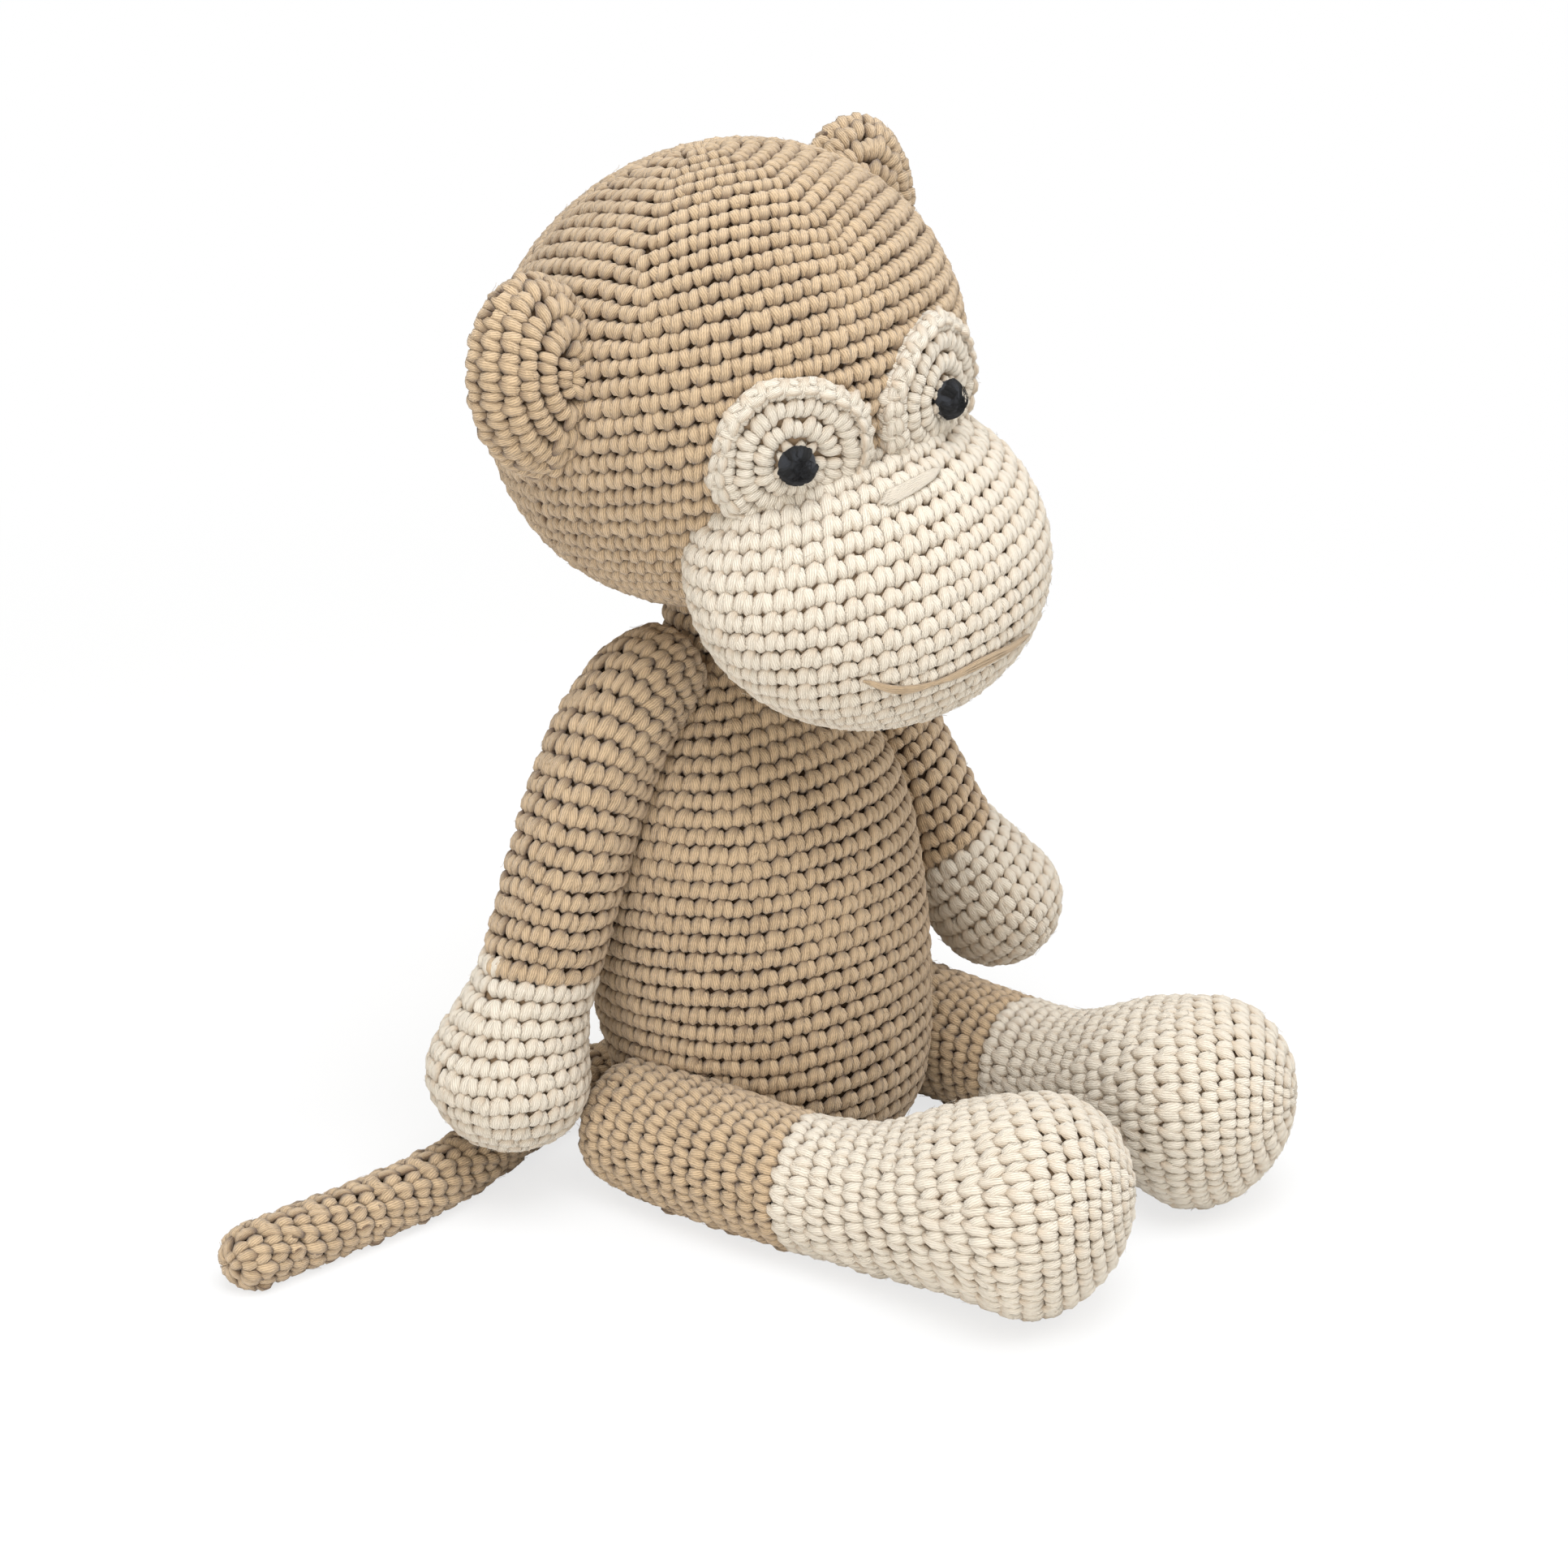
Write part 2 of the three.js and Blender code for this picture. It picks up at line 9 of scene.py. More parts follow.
import bpy
import numpy as np
from mathutils import Matrix, Vector
from mathutils.bvhtree import BVHTree


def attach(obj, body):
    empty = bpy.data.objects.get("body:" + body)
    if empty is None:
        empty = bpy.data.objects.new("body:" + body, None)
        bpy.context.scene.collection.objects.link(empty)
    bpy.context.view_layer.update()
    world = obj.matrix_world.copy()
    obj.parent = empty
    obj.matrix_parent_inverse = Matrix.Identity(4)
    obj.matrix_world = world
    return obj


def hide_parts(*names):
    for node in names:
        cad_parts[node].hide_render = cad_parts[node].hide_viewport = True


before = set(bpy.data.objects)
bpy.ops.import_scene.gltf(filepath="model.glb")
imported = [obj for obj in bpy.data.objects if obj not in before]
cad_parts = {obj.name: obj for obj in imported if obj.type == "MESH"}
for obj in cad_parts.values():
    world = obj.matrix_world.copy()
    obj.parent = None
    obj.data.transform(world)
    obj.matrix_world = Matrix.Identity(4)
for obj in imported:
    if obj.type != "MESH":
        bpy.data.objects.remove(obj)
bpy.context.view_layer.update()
log = logging.getLogger("crochet_monkey")

MM = 0.001

# The crochet, in millimetres: the size of a stitch, the least height of one where rounds crowd, and how far
# stitches, their ground and the filling lie under the form's surface
STITCH_WIDTH = 5.35
ROW_HEIGHT = 5.15
LEAST_HEIGHT = 2.5
STITCH_DEPTH = 1.1
GROUND_DEPTH = 2.3
STUFFING_DEPTH = 3.6

# The tan rounds show a little more gap between them than the cream ones
TAN_REACH = 0.97

# How far from its solid, in millimetres, a cover may reach where it is sewn on
SEAM_REACH = 3.2

# How many points each ring of a form has, and how high a form's flat underside lies, in millimetres
ANGLES = 96
UNDERSIDE = 0.9

Grid = np.ndarray
Colour = tuple[float, float, float]
Place = tuple[float, float, float]
Faces = list[tuple[int, ...]]
Socket = bpy.types.NodeSocket


class Wool(Enum):
    """What the toy is made of, by the record's slot names."""

    TAN = "tan_yarn"
    CREAM = "cream_yarn"
    BLACK = "black_yarn"
    FIBRE = "filling_fibre"


# Frames and smooth curves, in millimetres


def moved(x: float, y: float, z: float) -> np.ndarray:
    """A frame shifted by a distance.

    Args:
        x: How far it moves along x.
        y: How far it moves along y.
        z: How far it moves along z.

    Returns:
        The frame, as a 4 by 4 matrix.
    """
    matrix = np.eye(4)
    matrix[:3, 3] = (x, y, z)
    return matrix


def turned(axis: str | Vector, degrees: float) -> np.ndarray:
    """A frame turned about an axis through its origin."""
    return np.array(Matrix.Rotation(math.radians(degrees), 4, axis))


def placed(points: np.ndarray, matrix: np.ndarray) -> np.ndarray:
    """Takes points out of a frame.

    Args:
        points: Points in the frame, with the coordinates last.
        matrix: The frame.

    Returns:
        The same points in the outer frame.
    """
    return points @ matrix[:3, :3].T + matrix[:3, 3]


def unit(vectors: np.ndarray) -> np.ndarray:
    """Vectors of length one along the last axis."""
    return vectors / np.maximum(np.linalg.norm(vectors, axis=-1, keepdims=True), 1e-9)


def lengths_along(points: np.ndarray) -> np.ndarray:
    """The length of a polyline up to each of its points."""
    return np.concatenate([[0], np.cumsum(np.linalg.norm(np.diff(points, axis=0), axis=1))])


def spline(points: list[tuple[float, ...]], power: float, steps: int = 40) -> np.ndarray:
    """A Catmull-Rom curve through points.

    Args:
        points: The points that the curve passes.
        power: How far the knots follow the spacing: 0 for even knots, 0.5 for centripetal ones.
        steps: How many samples each span gets.

    Returns:
        The samples along the whole curve.
    """
    knots = np.asarray(points, float)
    if power:
        ends = (2 * knots[0] - knots[1], 2 * knots[-1] - knots[-2])
    else:
        ends = (knots[0], knots[-1])
    knots = np.vstack([ends[0], knots, ends[1]])
    share = np.linspace(0, 1, steps, endpoint=False)[:, None]
    spans = []
    for before, here, there, after in zip(knots, knots[1:], knots[2:], knots[3:]):
        first, middle, last = (
            max(float(np.linalg.norm(b - a)) ** power, 1e-6) if power else 1.0
            for a, b in ((before, here), (here, there), (there, after))
        )
        leave = (here - before) / first - (there - before) / (first + middle) + (there - here) / middle
        reach = (there - here) / middle - (after - here) / (middle + last) + (after - there) / last
        leave, reach = leave * middle, reach * middle
        spans.append(
            here
            + leave * share
            + (3 * (there - here) - 2 * leave - reach) * share**2
            + (2 * (here - there) + leave + reach) * share**3
        )
    return np.vstack([*spans, knots[-2:-1]])


def evenly(curve: np.ndarray, count: int) -> np.ndarray:
    """Samples a polyline again at equal lengths.

    Args:
        curve: The polyline.
        count: How many samples to take.

    Returns:
        The even samples, ends included.
    """
    along = lengths_along(curve)
    wanted = np.linspace(0, along[-1], count)
    return np.stack([np.interp(wanted, along, curve[:, i]) for i in range(curve.shape[1])], axis=1)


# Forms: each is a grid of points, rows of rings from the first round of the cover to its last


def around() -> np.ndarray:
    """The angles of the points of a ring."""
    return 2 * np.pi * np.arange(ANGLES) / ANGLES


def ellipsoid_grid(halves: Place, pole: np.ndarray, rings: int = 90) -> Grid:
    """An ellipsoid about the origin, ringed about any pole.

    Args:
        halves: Its half sizes along the three axes.
        pole: The direction in which the first round lies.
        rings: How many rings the grid has.

    Returns:
        The grid of points.
    """
    size = np.asarray(halves, float)
    towards = unit(np.asarray(pole, float) / size)
    side = unit(np.cross(towards, (0, 1, 0) if abs(towards[1]) < 0.9 else (1, 0, 0)))
    other = np.cross(towards, side)
    down = np.radians(np.linspace(0.2, 179.8, rings))[:, None, None]
    angle = around()[None, :, None]
    ball = np.cos(down) * towards + np.sin(down) * (np.cos(angle) * side + np.sin(angle) * other)
    return ball * size


def tube_grid(centres: np.ndarray, radii: np.ndarray, along: np.ndarray | None = None) -> Grid:
    """A round tube along a line of centres.

    Args:
        centres: The middle of each ring.
        radii: The radius of each ring.
        along: The direction that each ring faces, where it isn't the line's own.

    Returns:
        The grid of points.
    """
    if along is None:
        along = unit(np.gradient(centres, axis=0))
    normal = unit(np.cross(along[0], (0.3, 1, 0.2)))
    angle = around()[:, None]
    rings = []
    for centre, direction, radius in zip(centres, along, radii):
        normal = unit(normal - direction * float(normal @ direction))
        other = np.cross(direction, normal)
        rings.append(centre + radius * (np.cos(angle) * normal + np.sin(angle) * other))
    return np.array(rings)


def outward(grid: Grid) -> np.ndarray:
    """The outward directions of a closed form.

    Args:
        grid: The form.

    Returns:
        The direction at each of its grid points.
    """
    across = np.roll(grid, -1, axis=1) - np.roll(grid, 1, axis=1)
    along = np.gradient(grid, axis=0)
    normals = unit(np.cross(across, along))
    middle = grid.mean(axis=(0, 1))
    rings = grid.mean(axis=1, keepdims=True)
    sense = np.sum(normals * (grid - 0.5 * (middle + rings)))
    return normals if sense > 0 else -normals


def inset(grid: Grid, depth: float) -> Grid:
    """The form drawn in by a depth."""
    return grid - outward(grid) * depth


# The stitches of a cover


@dataclass(frozen=True)
class Gauge:
    """How a cover is worked: its stitch and row sizes in millimetres, and how its rows run.

    The first rounds can have corners, where the increases lie over each other, and the rounds in the middle
    of a cover can bend up on one side. Each round's stitches stand a share of a stitch on from the last
    round's.
    """

    width: float = STITCH_WIDTH
    height: float = ROW_HEIGHT
    plump: float = 1.0
    drift: float = 0.3
    corners: int = 0
    corner_turn: float = 0.0
    corner_depth: float = 0.0
    corner_rows: float = 14.0
    corner_fade: float = 5.0
    bend: float = 0.0
    bend_turn: float = 0.0
    waver: float = 0.4

    def corner_shape(self, angle: np.ndarray) -> np.ndarray:
        """How far a cornered round lies outside or inside a circle.

        Args:
            angle: The angles around the form.

        Returns:
            The distance at each angle, as a share of the corners' depth.
        """
        if not self.corners:
            return np.zeros(len(angle))
        wedge = 2 * np.pi / self.corners
        off = np.abs((angle - math.radians(self.corner_turn) + wedge / 2) % wedge - wedge / 2)
        polygon = math.cos(wedge / 2) / np.cos(wedge / 2 - off)
        return (polygon - polygon.mean()) / (1 - math.cos(wedge / 2))

    def course(
        self, row: int, middle: float, height: float, total: float, angle: np.ndarray, sense: float
    ) -> np.ndarray:
        """How far along the form a round lies at each angle.

        Args:
            row: The round's number.
            middle: How far along the form its middle lies.
            height: The height of a round.
            total: The length of the form.
            angle: The angles around the form.
            sense: Which way round it is worked, as plus or minus one.

        Returns:
            The lengths, in millimetres.
        """
        weight = max(0.0, 1 - max(0.0, row - self.corner_rows) / self.corner_fade) * self.corner_depth
        rise = min(1, 0.3 + 0.35 * row)
        wanted = middle + height * rise * (angle / (2 * np.pi) - 0.5) * sense
        lifted = self.bend * np.maximum(np.sin(angle - math.radians(self.bend_turn)), 0)
        lifted = lifted * math.sin(math.pi * middle / total)
        lifted = lifted + self.waver * np.sin(3 * angle + 0.45 * row) * (row > 2)
        return np.clip(wanted * (1 + weight * self.corner_shape(angle)) + lifted, 0.3 * height, total - 0.1)


@dataclass
class Stitches:
    """Where the stitches of a cover lie, with the three directions of each and its size."""

    place: list[np.ndarray] = field(default_factory=list)
    turn: list[np.ndarray] = field(default_factory=list)
    size: list[np.ndarray] = field(default_factory=list)
    worked: list[float] = field(default_factory=list)

    def chosen(self, keep: Callable[[np.ndarray, float], bool]) -> "Stitches":
        """The stitches that a rule keeps.

        Args:
            keep: The rule, from a stitch's place and the length worked up to it.

        Returns:
            The stitches kept.
        """
        picked = Stitches()
        for place, turn, size, worked in zip(self.place, self.turn, self.size, self.worked):
            if keep(place, worked):
                picked.place.append(place)
                picked.turn.append(turn)
                picked.size.append(size)
                picked.worked.append(worked)
        return picked


def worked_sense(grid: Grid, normals: np.ndarray) -> float:
    """Which way round a form's rings run, as plus or minus one."""
    beside = np.cross(np.gradient(grid, axis=0), normals)
    return np.sign(np.sum(beside * (np.roll(grid, -1, 1) - np.roll(grid, 1, 1))))


def heights_at(length: np.ndarray, mean: np.ndarray, course: np.ndarray, height: float) -> np.ndarray:
    """How high a round really is at each angle, where the form is longer on one side than on another.

    Args:
        length: The length up to each point of the form.
        mean: The mean length up to each ring.
        course: How far along the form the round lies at each angle.
        height: The height of a round by the mean length.

    Returns:
        The heights.
    """
    columns = np.arange(len(course)) % ANGLES
    tall = 0
    for sign in (1, -1):
        at = np.interp(course + sign * height / 2, mean, np.arange(len(mean)))
        at = np.clip(at, 0, len(mean) - 1.001)
        ring = at.astype(int)
        tall = tall + sign * (length[ring, columns] * (1 - at % 1) + length[ring + 1, columns] * (at % 1))
    return tall


def lay_rows(grid: Grid, gauge: Gauge) -> Stitches:
    """Works rounds of stitches over a form, from its first ring to its last.

    Args:
        grid: The form.
        gauge: How the cover is worked.

    Returns:
        The stitches, in the order in which they are worked.
    """
    normals = outward(grid)
    steps = np.linalg.norm(np.diff(grid, axis=0), axis=2)
    length = np.vstack([np.zeros(ANGLES), np.cumsum(steps, axis=0)])
    mean = length.mean(axis=1)
    total = mean[-1]
    count = max(2, round(total / gauge.height))
    height = total / count
    angle = 2 * np.pi * np.arange(ANGLES + 1) / ANGLES
    columns = np.arange(ANGLES + 1) % ANGLES
    sense = worked_sense(grid, normals)
    laid, shift = Stitches(), 0.0
    for row in range(count):
        middle = (row + 0.5) * height
        course = gauge.course(row, middle, height, total, angle, sense)
        index = np.interp(course, mean, np.arange(len(mean)))
        low = np.minimum(index.astype(int), len(mean) - 2)
        part = (index - low)[:, None]
        tall = heights_at(length, mean, course, height)
        ring = grid[low, columns] * (1 - part) + grid[low + 1, columns] * part
        facing = normals[low, columns] * (1 - part) + normals[low + 1, columns] * part
        ahead = unit(grid[low + 1, columns] - grid[low, columns])
        run = lengths_along(ring)
        number = max(4, round(run[-1] / gauge.width))
        width = run[-1] / number
        shift = (shift + gauge.drift * width * sense) % width
        for stitch in range(number):
            at = min(stitch * width + shift, run[-1] - 1e-6)
            column = int(np.searchsorted(run, at, side="right") - 1)
            following = column + 1
            share = (at - run[column]) / max(run[following] - run[column], 1e-9)
            normal = unit(facing[column] * (1 - share) + facing[following] * share)
            along = unit(ring[following] - ring[column]) * sense
            along = unit(along - normal * float(normal @ along))
            up = np.cross(normal, along)
            if up @ ahead[column] < 0:
                along, up = -along, -up
            laid.place.append(ring[column] * (1 - share) + ring[following] * share)
            laid.turn.append(np.stack([along, up, normal], axis=1))
            tallness = max(tall[column], LEAST_HEIGHT) / ROW_HEIGHT
            laid.size.append(np.array([width / STITCH_WIDTH, tallness, gauge.plump]))
            laid.worked.append(float(middle))
    return laid


# Finishes


class Shading:
    """A new node material, with short ways to add nodes to it."""

    def __init__(self, name: str, roughness: float, specular: float) -> None:
        """Starts the material.

        Args:
            name: What the finish is called.
            roughness: How rough its surface is.
            specular: How strongly it mirrors light.
        """
        self.material = bpy.data.materials.new(name)
        self.material.use_nodes = True
        self.nodes, self.links = self.material.node_tree.nodes, self.material.node_tree.links
        self.surface = self.nodes["Principled BSDF"]
        self.surface.inputs["Roughness"].default_value = roughness
        self.surface.inputs["Specular IOR Level"].default_value = specular

    def node(self, kind: str, values: dict[str, object], wires: dict[str, Socket]) -> bpy.types.Node:
        """Adds a node.

        Args:
            kind: The type of node.
            values: What its inputs are set to, by name.
            wires: What its inputs are linked to, by name.

        Returns:
            The node.
        """
        node = self.nodes.new(kind)
        for name, value in values.items():
            node.inputs[name].default_value = value
        for name, socket in wires.items():
            self.links.new(socket, node.inputs[name])
        return node

    def sums(self, kind: str, first: object, second: object = None) -> Socket:
        """One step of arithmetic.

        Args:
            kind: The operation.
            first: A socket or a number.
            second: Another, where the operation takes two.

        Returns:
            The result.
        """
        step = self.nodes.new("ShaderNodeMath")
        step.operation = kind
        for socket, value in zip(step.inputs, (first, second)):
            if isinstance(value, (int, float)):
                socket.default_value = value
            elif value is not None:
                self.links.new(value, socket)
        return step.outputs[0]

    def added(self, *parts: tuple[Socket, float]) -> Socket:
        """The sum of some sockets, each times its weight.

        Args:
            parts: The sockets, each with its weight.

        Returns:
            The sum.
        """
        total = None
        for socket, weight in parts:
            share = self.sums("MULTIPLY", socket, weight)
            total = share if total is None else self.sums("ADD", total, share)
        return total

    def noise(self, scale: float, detail: float, where: Socket) -> Socket:
        """Noise over some coordinates, from nought to one."""
        noise = self.node("ShaderNodeTexNoise", {"Scale": scale, "Detail": detail}, {"Vector": where})
        return noise.outputs["Fac"]

    def ramp(self, value: Socket, shade: tuple[float, Colour], colour: tuple[float, Colour]) -> Socket:
        """A blend of two colours by a value.

        Args:
            value: The value.
            shade: Where the first colour ends, and that colour.
            colour: Where the second colour begins, and that colour.

        Returns:
            The blended colour.
        """
        ramp = self.node("ShaderNodeValToRGB", {}, {"Fac": value})
        for stop, (place, tone) in zip(ramp.color_ramp.elements, (shade, colour)):
            stop.position = place
            stop.color = (*tone, 1)
        return ramp.outputs["Color"]

    def relief(self, height: Socket, strength: float, distance: float) -> bpy.types.Node:
        """Gives the surface a bump.

        Args:
            height: The height of the relief.
            strength: How strongly it shows.
            distance: How far its highest point stands off, in metres.

        Returns:
            The bump's node.
        """
        bump = self.node("ShaderNodeBump", {"Strength": strength, "Distance": distance}, {"Height": height})
        self.links.new(bump.outputs["Normal"], self.surface.inputs["Normal"])
        return bump


@dataclass(frozen=True)
class YarnFinish:
    """Plied cotton yarn, with its colours in linear light and its plies along the UV map. Its crease shade
    colour is painted shade, mixed in where a leg lies deep between its neighbours.
    """

    name: str
    colour: Colour
    shade: Colour
    # A painted shade colour for the creases between the legs: dark for tan and black, a warmer, lighter tone
    # for cream
    crease_shade: Colour
    plies: float = 9.0
    twist: float = 3.0
    sheen: float = 0.25
    softened: float = 0.0009

    def material(self) -> bpy.types.Material:
        """Builds the yarn: plies and fine fibres as bump and colour, with a tint for each stitch and painted
        shade in the creases between the legs.

        Returns:
            The material.
        """
        shading = Shading(self.name, roughness=0.86, specular=0.25)
        shading.surface.inputs["Sheen Weight"].default_value = self.sheen
        shading.surface.inputs["Sheen Roughness"].default_value = 0.6
        sums = shading.sums
        place = shading.nodes.new("ShaderNodeUVMap")
        place.uv_map = "yarn"
        apart = shading.node("ShaderNodeSeparateXYZ", {}, {"Vector": place.outputs["UV"]})
        along, round_it = apart.outputs[:2]
        stretch = {"Scale": (3, 34, 1), "Rotation": (0, 0, 0.35)}
        drawn = shading.node("ShaderNodeMapping", stretch, {"Vector": place.outputs["UV"]})
        where = shading.nodes.new("ShaderNodeTexCoord").outputs["Object"]
        fibres = shading.noise(1.0, 3.0, drawn.outputs[0])
        fluff = shading.noise(1500, 4, where)
        wear = shading.noise(28, 2, where)
        tint = shading.nodes.new("ShaderNodeAttribute")
        tint.attribute_name = "tint"

        # The ply valleys are painted darker towards the shade colour, as painted shade between the plies; the
        # fibre, fluff, wear and tint noises vary the tone at random
        wound = shading.added((round_it, self.plies), (along, self.twist), (fibres, 1.2))
        ply = sums("ABSOLUTE", sums("SINE", sums("MULTIPLY", wound, math.pi)))
        worn = sums("SUBTRACT", wear, 0.5)
        light = shading.added(
            (ply, 0.45), (fibres, 0.25), (fluff, 0.35), (worn, 0.5), (tint.outputs["Fac"], 0.4)
        )
        yarn = shading.ramp(light, (0.12, self.shade), (0.72, self.colour))
        links = shading.links
        # Painted crease shade: the crease shade colour is mixed over the yarn by the depth mask
        mix = shading.nodes.new("ShaderNodeMix")
        mix.data_type = "RGBA"
        given = {socket.name: socket for socket in mix.inputs if socket.enabled}
        links.new(self.depth(shading, along, round_it), given["Factor"])
        links.new(yarn, given["A"])
        given["B"].default_value = (*self.crease_shade, 1)
        mixed = next(socket for socket in mix.outputs if socket.enabled)
        links.new(mixed, shading.surface.inputs["Base Color"])

        fine = sums("ADD", sums("MULTIPLY", fibres, 0.35), sums("MULTIPLY", fluff, 0.3))
        bump = shading.relief(sums("ADD", ply, fine), strength=0.7, distance=0.00045)
        rounded = shading.node("ShaderNodeBevel", {"Radius": self.softened}, {})
        rounded.samples = 4
        links.new(rounded.outputs["Normal"], bump.inputs["Normal"])
        return shading.material

    @staticmethod
    def depth(shading: Shading, along: Socket, round_it: Socket) -> Socket:
        """The mask of the painted crease shade: how deep a point of a stitch's leg lies between its
        neighbours, at its foot, its top and its sides.

        Args:
            shading: The material.
            along: The place along the yarn.
            round_it: The place around the yarn.

        Returns:
            The share of painted crease shade, from nought to one.
        """
        sums = shading.sums
        side = sums("MULTIPLY", sums("ABSOLUTE", sums("SUBTRACT", round_it, 0.5)), 2.0)
        foot = sums("SUBTRACT", 1.0, sums("DIVIDE", along, 0.42))
        top = sums("DIVIDE", sums("SUBTRACT", along, 0.9), 0.5)
        return sums("MINIMUM", sums("MAXIMUM", sums("MAXIMUM", foot, top), sums("POWER", side, 1.8)), 1.0)


@dataclass(frozen=True)
class GapShadeAndFillingFinish:
    """The dark sheet behind a cover, seen in the gaps between its stitches and coloured as painted shade for
    those gaps, and loose filling in the fibre's own colour.
    """

    name: str
    colour: Colour
    shade: Colour
    scale: float = 420.0

    def material(self) -> bpy.types.Material:
        """Builds a matt fibrous finish on Object coordinates.

        Returns:
            The material.
        """
        shading = Shading(self.name, roughness=0.95, specular=0.1)
        where = shading.nodes.new("ShaderNodeTexCoord").outputs["Object"]
        noise = shading.noise(self.scale, 5, where)
        shading.links.new(
            shading.ramp(noise, (0.35, self.shade), (0.65, self.colour)), shading.surface.inputs["Base Color"]
        )
        shading.relief(noise, strength=0.5, distance=0.0005)
        return shading.material


# Meshes


def linked(name: str, mesh: bpy.types.Mesh) -> bpy.types.Object:
    """Puts a mesh in the scene as an object at the origin.

    Args:
        name: What the object is called.
        mesh: Its mesh.

    Returns:
        The object.
    """
    piece = bpy.data.objects.new(name, mesh)
    bpy.context.scene.collection.objects.link(piece)
    return piece


def mesh_of(name: str, points: np.ndarray, faces: Faces, uv: np.ndarray | None = None) -> bpy.types.Mesh:
    """A smooth mesh from points in millimetres.

    Args:
        name: What the mesh is called.
        points: Its points.
        faces: Its faces, as rows of point numbers.
        uv: The yarn map of each point, along the yarn and around it.

    Returns:
        The mesh.
    """
    mesh = bpy.data.meshes.new(name)
    mesh.from_pydata((np.asarray(points) * MM).tolist(), [], faces)
    if uv is not None:
        layer = mesh.uv_layers.new(name="yarn")
        corners = np.empty(len(mesh.loops), int)
        mesh.loops.foreach_get("vertex_index", corners)
        layer.data.foreach_set("uv", np.asarray(uv)[corners].ravel())
    mesh.shade_smooth()
    mesh.update()
    return mesh


def ring_faces(rings: int, sides: int, start: int = 0) -> Faces:
    """The faces of a closed form: rings of points with a single point at each end.

    Args:
        rings: How many rings there are.
        sides: How many points each ring has.
        start: The number of its first point. The rings come first, then the two end points.

    Returns:
        The faces, outward for rings that run counter-clockwise about the way they advance.
    """
    faces = []
    first, last = start + rings * sides, start + rings * sides + 1
    for side in range(sides):
        after = (side + 1) % sides
        faces.append((first, start + after, start + side))
        for ring in range(rings - 1):
            low, high = start + ring * sides, start + (ring + 1) * sides
            faces.append((low + side, low + after, high + after, high + side))
        top = start + (rings - 1) * sides
        faces.append((last, top + side, top + after))
    return faces


def closed_form(name: str, grid: Grid, every: tuple[int, int] = (2, 2)) -> bpy.types.Mesh:
    """A closed smooth mesh over a grid.

    Args:
        name: What the mesh is called.
        grid: The form.
        every: Which of its rings and of its points around are used.

    Returns:
        The mesh.
    """
    rings = grid[:: every[0], :: every[1]]
    sides = rings.shape[1]
    points = np.vstack([rings.reshape(-1, 3), grid[0].mean(axis=0), grid[-1].mean(axis=0)])
    faces = ring_faces(len(rings), sides)
    corners = points - rings.mean(axis=(0, 1))
    volume = sum(float(np.dot(corners[a], np.cross(corners[b], corners[c]))) for a, b, c, *_ in faces)
    if volume < 0:
        faces = [tuple(reversed(face)) for face in faces]
    return mesh_of(name, points, faces)


def strand(
    path: np.ndarray, radii: np.ndarray, sides: int, flat: float = 1.0, start: int = 0,
    outwards: Place = (0.1, 0, 1),
) -> tuple[np.ndarray, Faces, np.ndarray]:
    """A closed strand of yarn along a path.

    Args:
        path: The middle of each ring.
        radii: The radius of each ring.
        sides: How many points each ring has.
        flat: How thick it is for its width, across the third axis.
        start: The number of its first point in the mesh that it goes into.
        outwards: The direction that its open side faces.

    Returns:
        Its points, faces and yarn map.
    """
    along = unit(np.gradient(path, axis=0))
    normal = unit(np.cross(along[0], outwards))
    points, uv = [], []
    run = lengths_along(path)
    for ring, (centre, direction, radius) in enumerate(zip(path, along, radii)):
        normal = unit(normal - direction * float(normal @ direction))
        other = np.cross(direction, normal)
        for side in range(sides):
            angle = 2 * math.pi * side / sides
            offset = math.cos(angle) * normal + math.sin(angle) * other
            offset[2] *= flat
            points.append(centre + radius * offset)
            uv.append((run[ring] / STITCH_WIDTH, 2 * abs(side / sides - 0.5)))
    points.append(path[0] - along[0] * radii[0] * 0.4)
    points.append(path[-1] + along[-1] * radii[-1] * 0.4)
    uv += [(-0.05, 0.5), (run[-1] / STITCH_WIDTH + 0.05, 0.5)]
    return np.array(points), ring_faces(len(path), sides, start), np.array(uv)


@dataclass
class Bundle:
    """Strands and forms gathered into one mesh."""

    points: np.ndarray = field(default_factory=lambda: np.zeros((0, 3)))
    faces: Faces = field(default_factory=list)
    uv: np.ndarray = field(default_factory=lambda: np.zeros((0, 2)))

    def add(self, points: np.ndarray, faces: Faces, uv: np.ndarray) -> None:
        """Adds points, the faces over them, numbered from this bundle's first point, and their yarn map."""
        self.points, self.uv = np.vstack([self.points, points]), np.vstack([self.uv, uv])
        self.faces += faces

    def mesh(self, name: str) -> bpy.types.Mesh:
        """The mesh of everything gathered."""
        return mesh_of(name, self.points, self.faces, self.uv)


